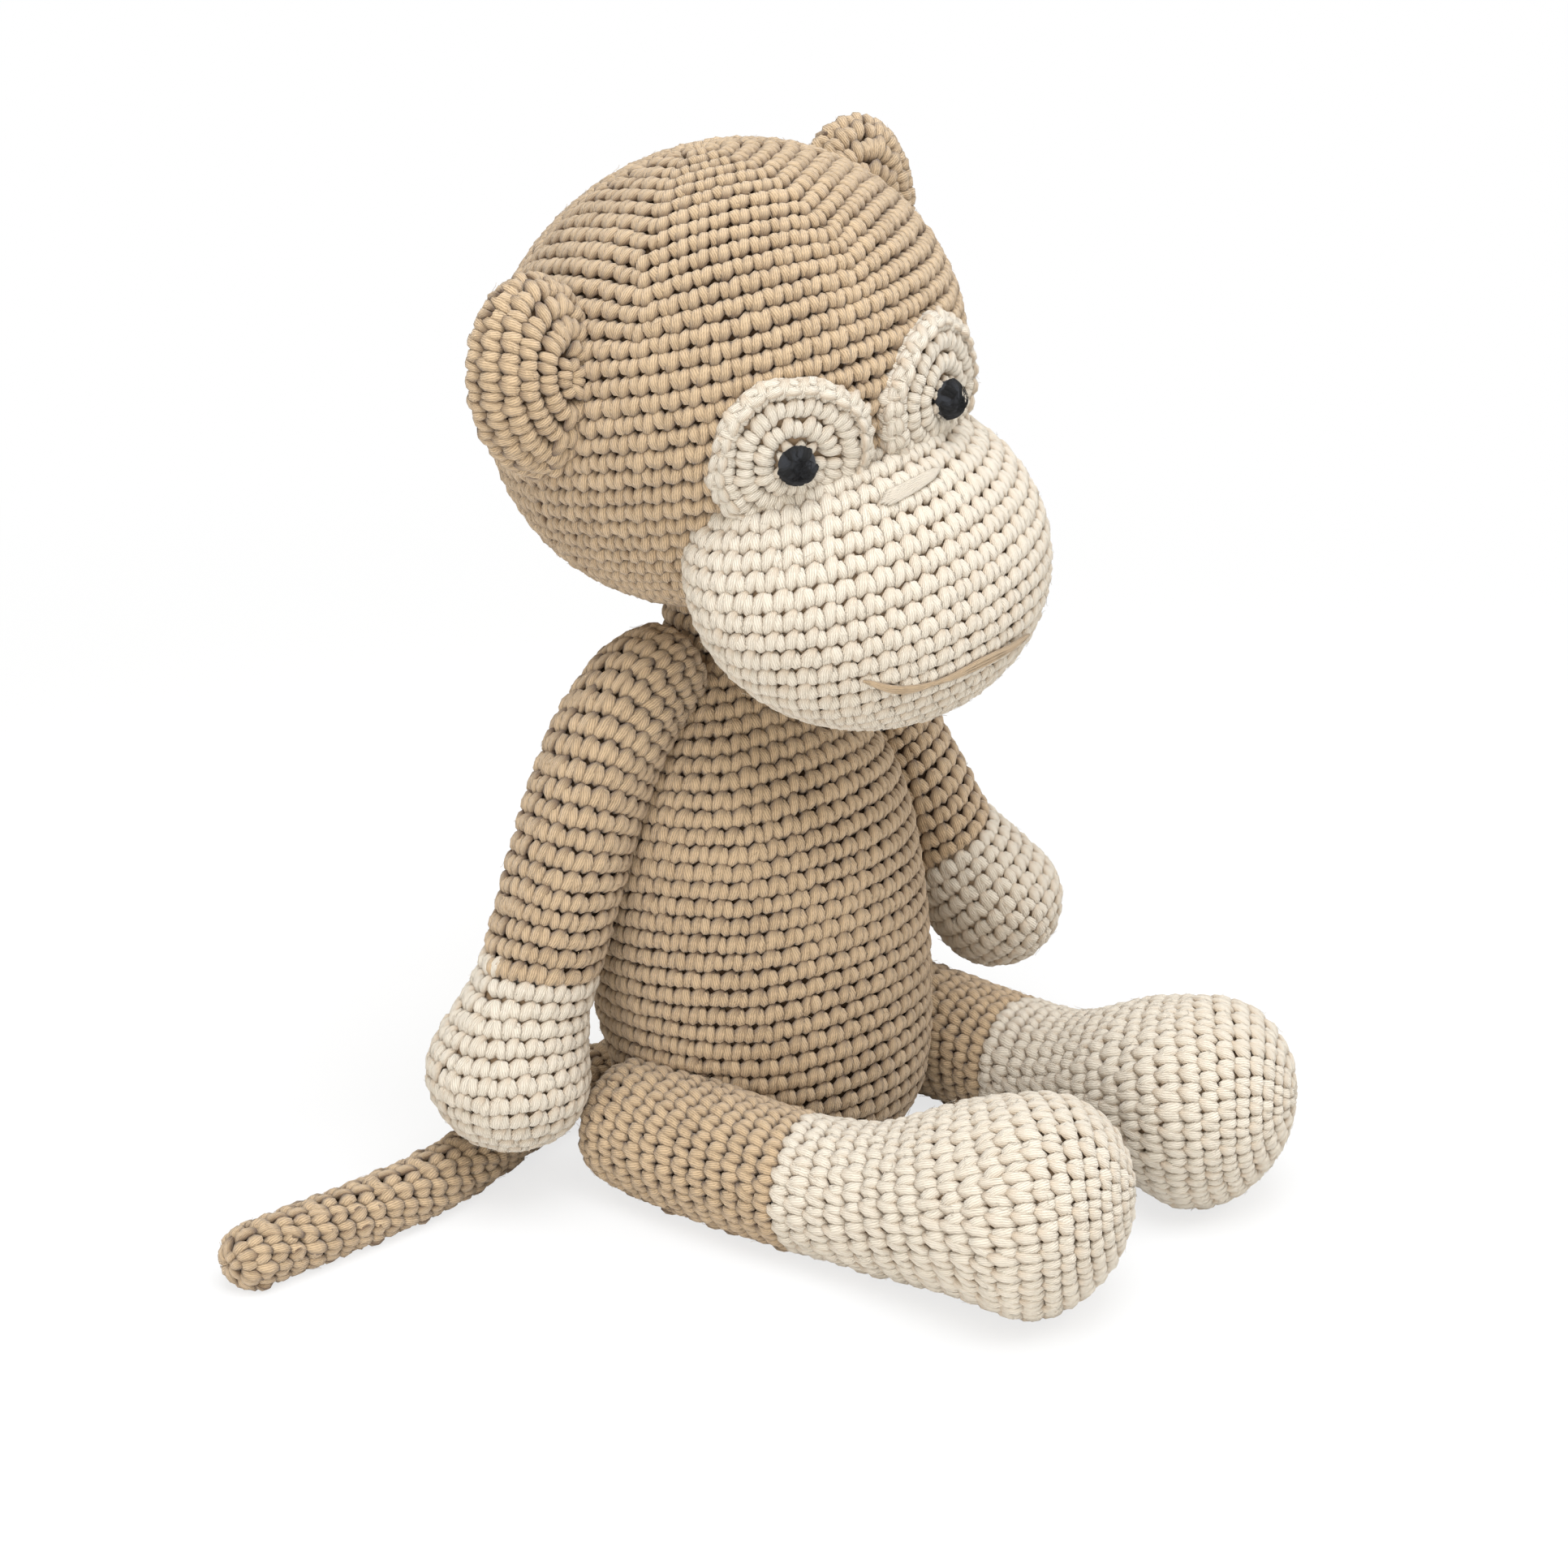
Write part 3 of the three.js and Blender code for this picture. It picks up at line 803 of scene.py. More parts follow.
@dataclass(frozen=True)
class StitchShape:
    """One single crochet stitch: two plump legs in a leaning V, from the row before to over the next."""

    left: tuple[Place, ...] = (
        (-0.6, -2.5, -1.4), (-0.95, -1.6, -0.4), (-1.3, -0.5, 0.25),
        (-1.55, 0.6, 0.4), (-1.75, 1.6, 0.05), (-1.8, 2.3, -1.1),
    )
    left_radii: tuple[float, ...] = (0.65, 1.35, 2.05, 2.1, 1.6, 0.8)
    right: tuple[Place, ...] = (
        (0.7, -2.55, -1.4), (1.0, -1.5, -0.4), (1.3, -0.5, 0.2),
        (1.6, 0.8, 0.4), (2.0, 2.1, 0.3), (2.3, 3.4, -0.5),
    )
    right_radii: tuple[float, ...] = (0.6, 1.3, 1.95, 2.1, 1.7, 0.95)
    sides: int = 6
    lean: float = -0.75
    flat: float = 0.62

    def mesh(self) -> bpy.types.Mesh:
        """Builds the stitch about its middle: x along the row, y the way it is worked, z outwards.

        Returns:
            The mesh, in metres.
        """
        bundle = Bundle()
        for leg, radii in ((self.left, self.left_radii), (self.right, self.right_radii)):
            path = np.array(leg)
            leaning = path + np.array([1, 0, 0]) * (self.lean * -path[:, 1:2] / 2.6)
            bundle.add(*strand(leaning, np.array(radii), self.sides, self.flat, len(bundle.points)))
        bundle.points[:, 2] -= STITCH_DEPTH
        return bundle.mesh("stitch")


@dataclass(frozen=True)
class FibreShape:
    """A loose fibre of the yarn, arched over a stitch."""

    radius: float = 0.05
    route: tuple[Place, ...] = (
        (-1.9, -0.4, -0.4), (-0.9, 0.3, 0.3), (0.4, -0.3, 0.6), (1.4, 0.5, 0.35), (2.1, 1.2, 0.6),
    )

    def mesh(self) -> bpy.types.Mesh:
        """Builds the fibre in the frame of a stitch.

        Returns:
            The mesh, in metres.
        """
        path = evenly(spline(list(self.route), 0.5), 7)
        points, faces, uv = strand(path, np.full(7, self.radius), 3)
        # A loose fibre sits in the middle of the yarn map, clear of the painted crease shade
        uv[:] = 0.5
        return mesh_of("fibre", points, faces, uv)


# Geometry Nodes


@dataclass(frozen=True)
class StitchTree:
    """Geometry Nodes that set a stitch on every point, with a little of a hand's unevenness."""

    name: str = "crochet_stitches"

    def build(self) -> bpy.types.NodeTree:
        """Builds the tree with named inputs for the stitch, its sizes, its finish and the seed.

        Returns:
            The tree.
        """
        tree = bpy.data.node_groups.new(self.name, "GeometryNodeTree")
        face = tree.interface
        face.new_socket("Geometry", in_out="INPUT", socket_type="NodeSocketGeometry")
        face.new_socket("Stitch", in_out="INPUT", socket_type="NodeSocketObject")
        face.new_socket("Fibre", in_out="INPUT", socket_type="NodeSocketObject")
        face.new_socket("Fuzz", in_out="INPUT", socket_type="NodeSocketFloat").default_value = 0.45
        face.new_socket("Plumpness", in_out="INPUT", socket_type="NodeSocketFloat").default_value = 1.0
        face.new_socket("Unevenness", in_out="INPUT", socket_type="NodeSocketFloat").default_value = 0.1
        face.new_socket("Tint spread", in_out="INPUT", socket_type="NodeSocketFloat").default_value = 0.5
        face.new_socket("Seed", in_out="INPUT", socket_type="NodeSocketInt").default_value = 1
        face.new_socket("Yarn", in_out="INPUT", socket_type="NodeSocketMaterial")
        face.new_socket("Geometry", in_out="OUTPUT", socket_type="NodeSocketGeometry")
        nodes, link = tree.nodes, tree.links.new
        given = nodes.new("NodeGroupInput")
        stitch = nodes.new("GeometryNodeObjectInfo")
        link(given.outputs["Stitch"], stitch.inputs["Object"])
        turn = self.read(nodes, "turn")
        size = self.read(nodes, "size")
        spots = nodes.new("GeometryNodeInstanceOnPoints")
        link(given.outputs["Geometry"], spots.inputs["Points"])
        link(stitch.outputs["Geometry"], spots.inputs["Instance"])
        link(turn, spots.inputs["Rotation"])
        plump = nodes.new("ShaderNodeVectorMath")
        plump.operation = "SCALE"
        link(size, plump.inputs[0])
        link(given.outputs["Plumpness"], plump.inputs["Scale"])
        link(plump.outputs[0], spots.inputs["Scale"])
        wobble = self.scatter(tree, given, 0.0, 1)
        tilt = nodes.new("GeometryNodeRotateInstances")
        link(spots.outputs["Instances"], tilt.inputs["Instances"])
        link(wobble, tilt.inputs["Rotation"])
        swell = self.scatter(tree, given, 1.0, 2)
        grow = nodes.new("GeometryNodeScaleInstances")
        link(tilt.outputs["Instances"], grow.inputs["Instances"])
        link(swell, grow.inputs["Scale"])
        tint = nodes.new("FunctionNodeRandomValue")
        tint.data_type = "FLOAT"
        for socket, sign in ((tint.inputs[2], -0.5), (tint.inputs[3], 0.5)):
            spread = nodes.new("ShaderNodeMath")
            spread.operation = "MULTIPLY"
            spread.inputs[1].default_value = sign
            link(given.outputs["Tint spread"], spread.inputs[0])
            link(spread.outputs[0], socket)
        link(given.outputs["Seed"], tint.inputs["Seed"])
        keep = nodes.new("GeometryNodeStoreNamedAttribute")
        keep.data_type = "FLOAT"
        keep.domain = "INSTANCE"
        keep.inputs["Name"].default_value = "tint"
        link(grow.outputs["Instances"], keep.inputs["Geometry"])
        value = next(socket for socket in keep.inputs if socket.enabled and socket.name == "Value")
        link(tint.outputs[1], value)
        both = nodes.new("GeometryNodeJoinGeometry")
        link(self.fuzz(tree, given, turn), both.inputs["Geometry"])
        link(keep.outputs["Geometry"], both.inputs["Geometry"])
        real = nodes.new("GeometryNodeRealizeInstances")
        link(both.outputs["Geometry"], real.inputs["Geometry"])
        dress = nodes.new("GeometryNodeSetMaterial")
        link(real.outputs["Geometry"], dress.inputs["Geometry"])
        link(given.outputs["Yarn"], dress.inputs["Material"])
        done = nodes.new("NodeGroupOutput")
        link(dress.outputs["Geometry"], done.inputs["Geometry"])
        return tree

    @staticmethod
    def fuzz(tree: bpy.types.NodeTree, given: bpy.types.Node, turn: Socket) -> Socket:
        """Sets a loose fibre on a share of the points, each turned its own way.

        Args:
            tree: The tree that they go into.
            given: Its input node.
            turn: The directions of the stitches.

        Returns:
            The socket with the fibres.
        """
        nodes, link = tree.nodes, tree.links.new
        fibre = nodes.new("GeometryNodeObjectInfo")
        link(given.outputs["Fibre"], fibre.inputs["Object"])
        chance = nodes.new("FunctionNodeRandomValue")
        chance.data_type = "BOOLEAN"
        link(given.outputs["Fuzz"], chance.inputs["Probability"])
        link(given.outputs["Seed"], chance.inputs["Seed"])
        hairs = nodes.new("GeometryNodeInstanceOnPoints")
        link(given.outputs["Geometry"], hairs.inputs["Points"])
        link(next(socket for socket in chance.outputs if socket.enabled), hairs.inputs["Selection"])
        link(fibre.outputs["Geometry"], hairs.inputs["Instance"])
        link(turn, hairs.inputs["Rotation"])
        ways = nodes.new("FunctionNodeRandomValue")
        ways.data_type = "FLOAT_VECTOR"
        ways.inputs[0].default_value = (-0.25, -0.25, 0.0)
        ways.inputs[1].default_value = (0.25, 0.25, 2 * math.pi)
        link(given.outputs["Seed"], ways.inputs["Seed"])
        spin = nodes.new("GeometryNodeRotateInstances")
        link(hairs.outputs["Instances"], spin.inputs["Instances"])
        link(ways.outputs[0], spin.inputs["Rotation"])
        sizes = nodes.new("FunctionNodeRandomValue")
        sizes.data_type = "FLOAT_VECTOR"
        sizes.inputs[0].default_value = (0.6, 0.4, 0.8)
        sizes.inputs[1].default_value = (1.4, 1.8, 1.25)
        link(given.outputs["Seed"], sizes.inputs["Seed"])
        stretch = nodes.new("GeometryNodeScaleInstances")
        link(spin.outputs["Instances"], stretch.inputs["Instances"])
        link(sizes.outputs[0], stretch.inputs["Scale"])
        return stretch.outputs["Instances"]

    @staticmethod
    def read(nodes: bpy.types.Nodes, name: str) -> Socket:
        """Reads a named vector from the points.

        Args:
            nodes: The nodes of the tree.
            name: What the vector is called.

        Returns:
            Its socket.
        """
        reader = nodes.new("GeometryNodeInputNamedAttribute")
        reader.data_type = "FLOAT_VECTOR"
        reader.inputs["Name"].default_value = name
        return next(socket for socket in reader.outputs if socket.enabled)

    @staticmethod
    def scatter(tree: bpy.types.NodeTree, given: bpy.types.Node, middle: float, step: int) -> Socket:
        """Random vectors about a middle value, as wide as the unevenness either way.

        Args:
            tree: The tree that they go into.
            given: Its input node.
            middle: The value that they spread about.
            step: What is added to the seed.

        Returns:
            The socket with the vectors.
        """
        spread = tree.nodes.new("FunctionNodeRandomValue")
        spread.data_type = "FLOAT_VECTOR"
        seed = tree.nodes.new("ShaderNodeMath")
        seed.inputs[1].default_value = step
        tree.links.new(given.outputs["Seed"], seed.inputs[0])
        tree.links.new(seed.outputs[0], spread.inputs["Seed"])
        for socket, sign in ((spread.inputs[0], -1.0), (spread.inputs[1], 1.0)):
            bound = tree.nodes.new("ShaderNodeMath")
            bound.operation = "MULTIPLY_ADD"
            bound.inputs[1].default_value = sign
            bound.inputs[2].default_value = middle
            tree.links.new(given.outputs["Unevenness"], bound.inputs[0])
            tree.links.new(bound.outputs[0], socket)
        return spread.outputs[0]


@dataclass
class Workshop:
    """The shared things that every cover is made with: the stitch, the tree and the finishes."""

    tree: bpy.types.NodeTree
    stitch: bpy.types.Object
    fibre: bpy.types.Object
    yarns: dict[Wool, bpy.types.Material]
    gap_shades_and_filling: dict[Wool, bpy.types.Material]
    seed: int = 10

    def crochet(self, name: str, stitches: Stitches, wool: Wool, ground: bpy.types.Mesh) -> bpy.types.Object:
        """Makes a cover: its stitches set by Geometry Nodes over the closed ground behind them.

        Args:
            name: What the piece is called.
            stitches: Where its stitches lie.
            wool: Its yarn.
            ground: The closed form seen between the stitches, which takes the painted gap shade.

        Returns:
            The finished piece, as a plain mesh.
        """
        self.seed += 10
        points = mesh_of(f"{name}_points", np.array(stitches.place), [])
        turns = [Matrix(turn.tolist()).to_euler() for turn in stitches.turn]
        sizes = np.array(stitches.size) * (1, TAN_REACH if wool is Wool.TAN else 1, 1)
        for label, values in (("turn", turns), ("size", sizes)):
            layer = points.attributes.new(label, "FLOAT_VECTOR", "POINT")
            layer.data.foreach_set("vector", np.array([list(value) for value in values], np.float32).ravel())
        carrier = linked(f"{name}_carrier", points)
        modifier = carrier.modifiers.new("stitches", "NODES")
        modifier.node_group = self.tree
        values = {"Stitch": self.stitch, "Fibre": self.fibre, "Seed": self.seed, "Yarn": self.yarns[wool]}
        for item in self.tree.interface.items_tree:
            if item.in_out == "INPUT" and item.name in values:
                modifier[item.identifier] = values[item.name]
        bpy.context.view_layer.update()
        graph = bpy.context.evaluated_depsgraph_get()
        worked = carrier.evaluated_get(graph)
        mesh = bpy.data.meshes.new_from_object(worked, preserve_all_data_layers=True, depsgraph=graph)
        carrier.modifiers.remove(modifier)
        bpy.data.objects.remove(carrier)
        behind = linked(f"{name}_ground", ground)
        # The ground takes the painted gap shade for its cover's yarn
        ground.materials.append(self.gap_shades_and_filling[wool])
        piece = linked(name, mesh)
        if not mesh.materials:
            mesh.materials.append(self.yarns[wool])
        return joined(piece, behind)


def joined(piece: bpy.types.Object, *others: bpy.types.Object) -> bpy.types.Object:
    """Joins objects into the first of them.

    Args:
        piece: The object that stays.
        others: The objects that go into it.

    Returns:
        The object that stays.
    """
    both = [piece, *others]
    with bpy.context.temp_override(
        active_object=piece, object=piece, selected_objects=both, selected_editable_objects=both
    ):
        bpy.ops.object.join()
    return piece


def rested(piece: bpy.types.Object, level: float = 0.15) -> None:
    """Flattens what would sink into the floor.

    Args:
        piece: The piece that rests on the floor.
        level: The lowest that its points may lie, in millimetres.
    """
    mesh = piece.data
    places = np.empty(len(mesh.vertices) * 3, np.float32)
    mesh.vertices.foreach_get("co", places)
    places = places.reshape(-1, 3)
    places[:, 2] = np.maximum(places[:, 2], level * MM)
    mesh.vertices.foreach_set("co", places.ravel())
    mesh.update()


def near_node(*names: str) -> Callable[[np.ndarray], float]:
    """How far a point in millimetres is from the nearest of some of the frame's solids.

    Args:
        names: The solids.

    Returns:
        The measure.
    """
    trees = []
    for name in names:
        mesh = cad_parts[name].data
        mesh.calc_loop_triangles()
        corners = [vertex.co / MM for vertex in mesh.vertices]
        trees.append(BVHTree.FromPolygons(corners, [tuple(t.vertices) for t in mesh.loop_triangles]))

    def distance(point: np.ndarray) -> float:
        """The distance from one point."""
        return min(tree.find_nearest(Vector(point))[3] for tree in trees)

    return distance


@dataclass(frozen=True)
class Cover:
    """One crochet cover: a form, how it is worked, and what it stands for in the frame."""

    name: str
    body: str
    wool: Wool
    node: str
    fill: float = 0.7

    def make(
        self, shop: Workshop, grid: Grid, laid: Stitches, ground: Grid | None = None, reach: float = 2.4,
        rule: Callable[[np.ndarray], bool] | None = None,
    ) -> bpy.types.Object:
        """Makes the cover and ties it to the frame.

        Args:
            shop: The shared tools.
            grid: The form's outer surface.
            laid: Its stitches, before those off the cloth are left out.
            ground: The form behind the stitches, where it isn't the whole grid.
            reach: How far a stitch may lie from the frame's solid.
            rule: Where a stitch may lie, where that isn't told by the reach.

        Returns:
            The cover.
        """
        away = near_node(self.node)
        kept = laid.chosen(lambda place, worked: rule(place) if rule else away(place) < reach)
        behind = closed_form(f"{self.name}_ground", inset(grid if ground is None else ground, GROUND_DEPTH))
        piece = shop.crochet(self.name, kept, self.wool, behind)
        rested(piece)
        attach(piece, self.body)
        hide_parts(self.node)
        log.info("%s: %d stitches, %d faces", self.name, len(kept.place), len(piece.data.polygons))
        return piece


def stuffing(shop: Workshop, name: str, node: str, body: str, grid: Grid) -> bpy.types.Object:
    """Makes the wad of fibre inside a cover.

    Args:
        shop: The shared tools.
        name: What the piece is called.
        node: The frame's solid that it stands for.
        body: The body that it rides on.
        grid: The outer surface of the cover.

    Returns:
        The stuffing.
    """
    mesh = closed_form(name, inset(grid, STUFFING_DEPTH), (4, 4))
    mesh.materials.append(shop.gap_shades_and_filling[Wool.FIBRE])
    piece = linked(name, mesh)
    rested(piece, 1.0)
    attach(piece, body)
    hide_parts(node)
    log.info("%s: %d faces", name, len(mesh.polygons))
    return piece


# The toy's own parts


@dataclass(frozen=True)
class Torso:
    """The pear-shaped body, leaning back, worked from the seat up."""

    lean: float = 10.5
    base: float = -7.0
    wall: tuple[tuple[float, float], ...] = (
        (19.2, -3), (32, 0), (43.5, 18), (49, 62), (46.5, 102), (31, 128), (15.5, 142),
    )
    gauge: Gauge = Gauge(bend=7, bend_turn=39)

    def frame(self) -> np.ndarray:
        """The torso's leaning frame."""
        return moved(0, self.base, 0) @ turned("X", -self.lean)

    def grid(self) -> Grid:
        """The outer surface, flat where it sits.

        Returns:
            The grid of points.
        """
        seat, top = (0.3, self.wall[0][1]), (0.3, self.wall[-1][1])
        profile = evenly(np.vstack([[seat], spline(list(self.wall), 0.0), [top]]), 110)
        angle = around()
        ring = np.stack([np.cos(angle), np.sin(angle)], axis=1)
        points = np.concatenate(
            [profile[:, None, :1] * ring[None], np.repeat(profile[:, None, 1:], ANGLES, axis=1)], axis=2
        )
        points = placed(points, self.frame())
        points[..., 2] = np.maximum(points[..., 2], UNDERSIDE)
        return points

    def beyond(self) -> Callable[[np.ndarray], float]:
        """How far a point in millimetres lies outside the torso's wall, straight out from its axis.

        Returns:
            The measure.
        """
        wall = spline(list(self.wall), 0.0)
        back = np.linalg.inv(self.frame())

        def measure(point: np.ndarray) -> float:
            """The distance of one point."""
            x, y, height = placed(point, back)
            return float(math.hypot(x, y) - np.interp(height, wall[:, 1], wall[:, 0], left=0, right=0))

        return measure

    def build(self, shop: Workshop) -> None:
        """Makes the body cover and its stuffing.

        Args:
            shop: The shared tools.
        """
        grid = self.grid()
        Cover("torso_crochet", "torso", Wool.TAN, "torso_cover").make(shop, grid, lay_rows(grid, self.gauge))
        stuffing(shop, "torso_stuffing", "torso_filling", "torso", grid)


def sewn_to_torso(node: str, depth: float = 1.5) -> Callable[[np.ndarray], bool]:
    """Whether a point of a form is on its cover, or between that and the torso to which it is sewn.

    Args:
        node: The frame's solid that the cover stands for.
        depth: How far the cover is carried on into the torso.

    Returns:
        The rule.
    """
    away = near_node(node)
    beyond = Torso().beyond()
    return lambda point: away(point) < SEAM_REACH or beyond(point) > -depth


@dataclass(frozen=True)
class Neck:
    """The short neck, whose rounded foot rolls in the body's collar."""

    radius: float = 13.3
    height: float = 12.0
    pivot: Place = (0, 19.79, 144.54)
    axis: Place = (0, -0.08416, 0.996452)

    def grid(self) -> Grid:
        """The outer surface, from the rounded foot up into the head.

        Returns:
            The grid of points.
        """
        low = np.linspace(-0.99, 0, 14, endpoint=False)
        wall = np.linspace(0, self.height, 20)
        heights = np.concatenate([low * self.radius, wall, [self.height + 0.4]])
        radii = self.radius * np.concatenate([np.sqrt(1 - low**2), np.ones(len(wall)), [0.3]])
        centres = np.array(self.pivot) + heights[:, None] * np.array(self.axis)
        return tube_grid(centres, radii)

    def build(self, shop: Workshop) -> None:
        """Makes the neck cover and its stuffing.

        Args:
            shop: The shared tools.
        """
        grid = self.grid()
        Cover("neck_crochet", "neck", Wool.TAN, "neck_cover").make(shop, grid, lay_rows(grid, Gauge()))
        stuffing(shop, "neck_stuffing", "neck_filling", "neck", grid)


@dataclass(frozen=True)
class Head:
    """The head and its face, turned and tilted together, worked from the crown down."""

    centre: Place = (0, 13.5, 219)
    halves: Place = (66, 67, 60)
    crown_lean: float = 42.0
    crown_pole: Place = (0.036, -0.685, 0.727)
    turn: float = -14.0
    side_tilt: float = 11.0
    gauge: Gauge = Gauge(plump=1.15, corners=6, corner_depth=0.095, corner_turn=37, corner_rows=9)
    muzzle_centre: Place = (0, -52.5, -40.9)
    muzzle_halves: Place = (53, 45.3, 31)
    muzzle_tilt: float = 51.0
    muzzle_pole: Place = (0, -0.31, -0.95)
    muzzle_seam: float = 0.86
    ears: tuple[tuple[str, Place, float, float], ...] = (
        ("right", (-63.5, -8.5, 24), 5, -2), ("left", (56, 12, 26), 0, -18),
    )
    ear_half: tuple[float, float] = (20, 26.5)
    ear_dome: float = 15.0
    ear_back: float = 5.0
    eye_spacing: float = 48.6
    eye_drop: float = 2.4
    patch_radius: float = 21.3
    patch_thickness: float = 3.4
    pupil_radius: float = 5.4
    pupil_bulge: float = 5.2

    def frame(self) -> np.ndarray:
        """The frame that the head and the face share."""
        return moved(*self.centre) @ turned("Z", self.turn) @ turned("Y", -self.side_tilt)

    def crown(self) -> Grid:
        """The head's outer surface in its own frame, ringed about the crown."""
        ball = ellipsoid_grid(self.halves, np.array(self.crown_pole), rings=110)
        return placed(ball, turned("X", -self.crown_lean))

    def muzzle_frame(self) -> np.ndarray:
        """The muzzle's frame in the head's frame."""
        return moved(*self.muzzle_centre) @ turned("X", self.muzzle_tilt)

    def build(self, shop: Workshop) -> None:
        """Makes the head, the muzzle, the ears, the eyes, the nose and the mouth.

        Args:
            shop: The shared tools.
        """
        grid = placed(self.crown(), self.frame())
        laid = lay_rows(grid, self.gauge)
        inside = np.linalg.inv(self.frame() @ self.muzzle_frame())

        def seen(place: np.ndarray, worked: float) -> bool:
            """Whether a stitch lies outside the muzzle's seam."""
            within = placed(place, inside) / np.array(self.muzzle_halves)
            return float(np.linalg.norm(within)) > self.muzzle_seam

        Cover("head_crochet", "head", Wool.TAN, "head_cover").make(shop, grid, laid.chosen(seen))
        stuffing(shop, "head_stuffing", "head_filling", "head", grid)
        self.build_muzzle(shop)
        for side, place, turn, lean in self.ears:
            self.build_ear(shop, side, place, turn, lean)
        for side, sign in (("right", -1), ("left", 1)):
            self.build_eye(shop, side, sign)
        self.build_face_stitches(shop)

    def build_muzzle(self, shop: Workshop) -> None:
        """Makes the muzzle, worked outwards from under the mouth.

        Args:
            shop: The shared tools.
        """
        pole = np.array(self.muzzle_pole) @ self.muzzle_frame()[:3, :3]
        ball = ellipsoid_grid(self.muzzle_halves, pole, rings=90)
        grid = placed(ball, self.frame() @ self.muzzle_frame())
        cover = Cover("muzzle_crochet", "head", Wool.CREAM, "muzzle_cover")
        cover.make(shop, grid, lay_rows(grid, Gauge()), reach=2.2)
        stuffing(shop, "muzzle_stuffing", "muzzle_filling", "head", grid)

    def build_ear(self, shop: Workshop, side: str, place: Place, turn: float, lean: float) -> None:
        """Makes an ear, a cup worked in a spiral from its middle.

        Args:
            shop: The shared tools.
            side: Which ear.
            place: The middle of its rim in the head's frame.
            turn: How far it turns about the upright, in degrees.
            lean: How far it leans sideways, in degrees.
        """
        ball = ellipsoid_grid((1, 1, 1), np.array((0.15 if place[0] < 0 else -0.15, -0.99, 0.03)), rings=80)
        depth = np.where(ball[..., 1:2] < 0, self.ear_dome, self.ear_back)
        ball = ball * np.concatenate(
            [np.full_like(depth, self.ear_half[0]), depth, np.full_like(depth, self.ear_half[1])], axis=2
        )
        own = moved(*place) @ turned("Z", turn) @ turned("Y", -lean)
        grid = placed(self.lipped(placed(ball, own)), self.frame())
        cover = Cover(f"ear_{side}_crochet", "head", Wool.TAN, f"ear_{side}")
        cover.make(shop, grid, lay_rows(grid, Gauge(height=5.5, plump=1.3)), reach=2.2)

    def lipped(self, grid: Grid, height: float = 2.4, spread: float = 3.0) -> Grid:
        """Raises an ear's surface where it meets the head, so that its edge stands over the head.

        Args:
            grid: The ear's surface in the head's frame.
            height: How far it's raised where it meets the head, in millimetres.
            spread: How far from the head the raise fades, in millimetres.

        Returns:
            The raised surface.
        """
        back = turned("X", self.crown_lean)[:3, :3]
        size = np.array(self.halves)
        inner = (grid @ back.T) / size
        apart = (np.linalg.norm(inner, axis=-1, keepdims=True) - 1) * size.mean()
        away = unit(inner / size) @ back
        return grid + away * height * np.exp(-((apart / spread) ** 2))

    def build_eye(self, shop: Workshop, side: str, sign: int) -> None:
        """Makes an eye: a round patch of four rounds and a knot of black yarn.

        Args:
            shop: The shared tools.
            side: Which eye.
            sign: Minus one for the right and one for the left.
        """
        aim = np.array((sign * self.eye_spacing / 2, 0, -self.eye_drop))
        aim[1] = -math.sqrt(self.halves[0] ** 2 - aim[0] ** 2 - aim[2] ** 2)
        out = unit(aim)
        across = unit(np.cross((0, 0, 1.0), out))
        up = np.cross(out, across)
        angle = around()[None, :, None]
        flat_rings = 34
        share = np.concatenate([np.linspace(0.01, 0.93, flat_rings), [0.97, 1.0, 1.0, 1.0, 0.9, 0.5, 0.05]])
        lift = np.concatenate([np.ones(flat_rings), [0.93, 0.75, 0.4, -0.3, -0.6, -0.8, -0.8]])
        uneven = 1 + 0.022 * np.sin(4 * angle + 1.1 + sign) + 0.013 * np.sin(9 * angle + 2 * sign)
        circle = np.cos(angle) * across + np.sin(angle) * up
        flat = share[:, None, None] * self.patch_radius * uneven * circle
        raised = self.on_crown(out, flat, lift[:, None] * self.patch_thickness + 0.3)
        grid = placed(raised, self.frame())
        cover = Cover(f"eye_patch_{side}_crochet", "head", Wool.CREAM, f"eye_patch_{side}", fill=0.4)
        laid = lay_rows(grid, Gauge(width=4.9, height=4.9))
        self.edge(laid, grid[flat_rings], self.frame()[:3, :3] @ out)
        cover.make(shop, grid, laid, reach=2.6)
        middle = self.on_crown(out, np.zeros((1, 1, 3)), np.array([[self.patch_thickness + 0.6]]))
        self.build_pupil(shop, side, placed(middle[0, 0], self.frame()), self.frame()[:3, :3] @ out)

    @staticmethod
    def edge(laid: Stitches, ring: np.ndarray, out: np.ndarray) -> None:
        """Adds the chain that finishes a patch, along its rim.

        Args:
            laid: The patch's stitches, which the chain's join.
            ring: The rim.
            out: The direction that the patch faces.
        """
        middle = ring.mean(axis=0)
        chain = 26
        loop = evenly(np.vstack([ring, ring[:1]]), chain + 1)
        for place, following in zip(loop[:-1], loop[1:]):
            along = unit(following - place)
            facing = unit(unit(place - middle) + 0.9 * out)
            facing = unit(facing - along * float(facing @ along))
            laid.place.append(place + 0.3 * out)
            laid.turn.append(np.stack([np.cross(along, facing), along, facing], axis=1))
            laid.size.append(np.array([0.72, 1.0, 0.9]))
            laid.worked.append(0.0)

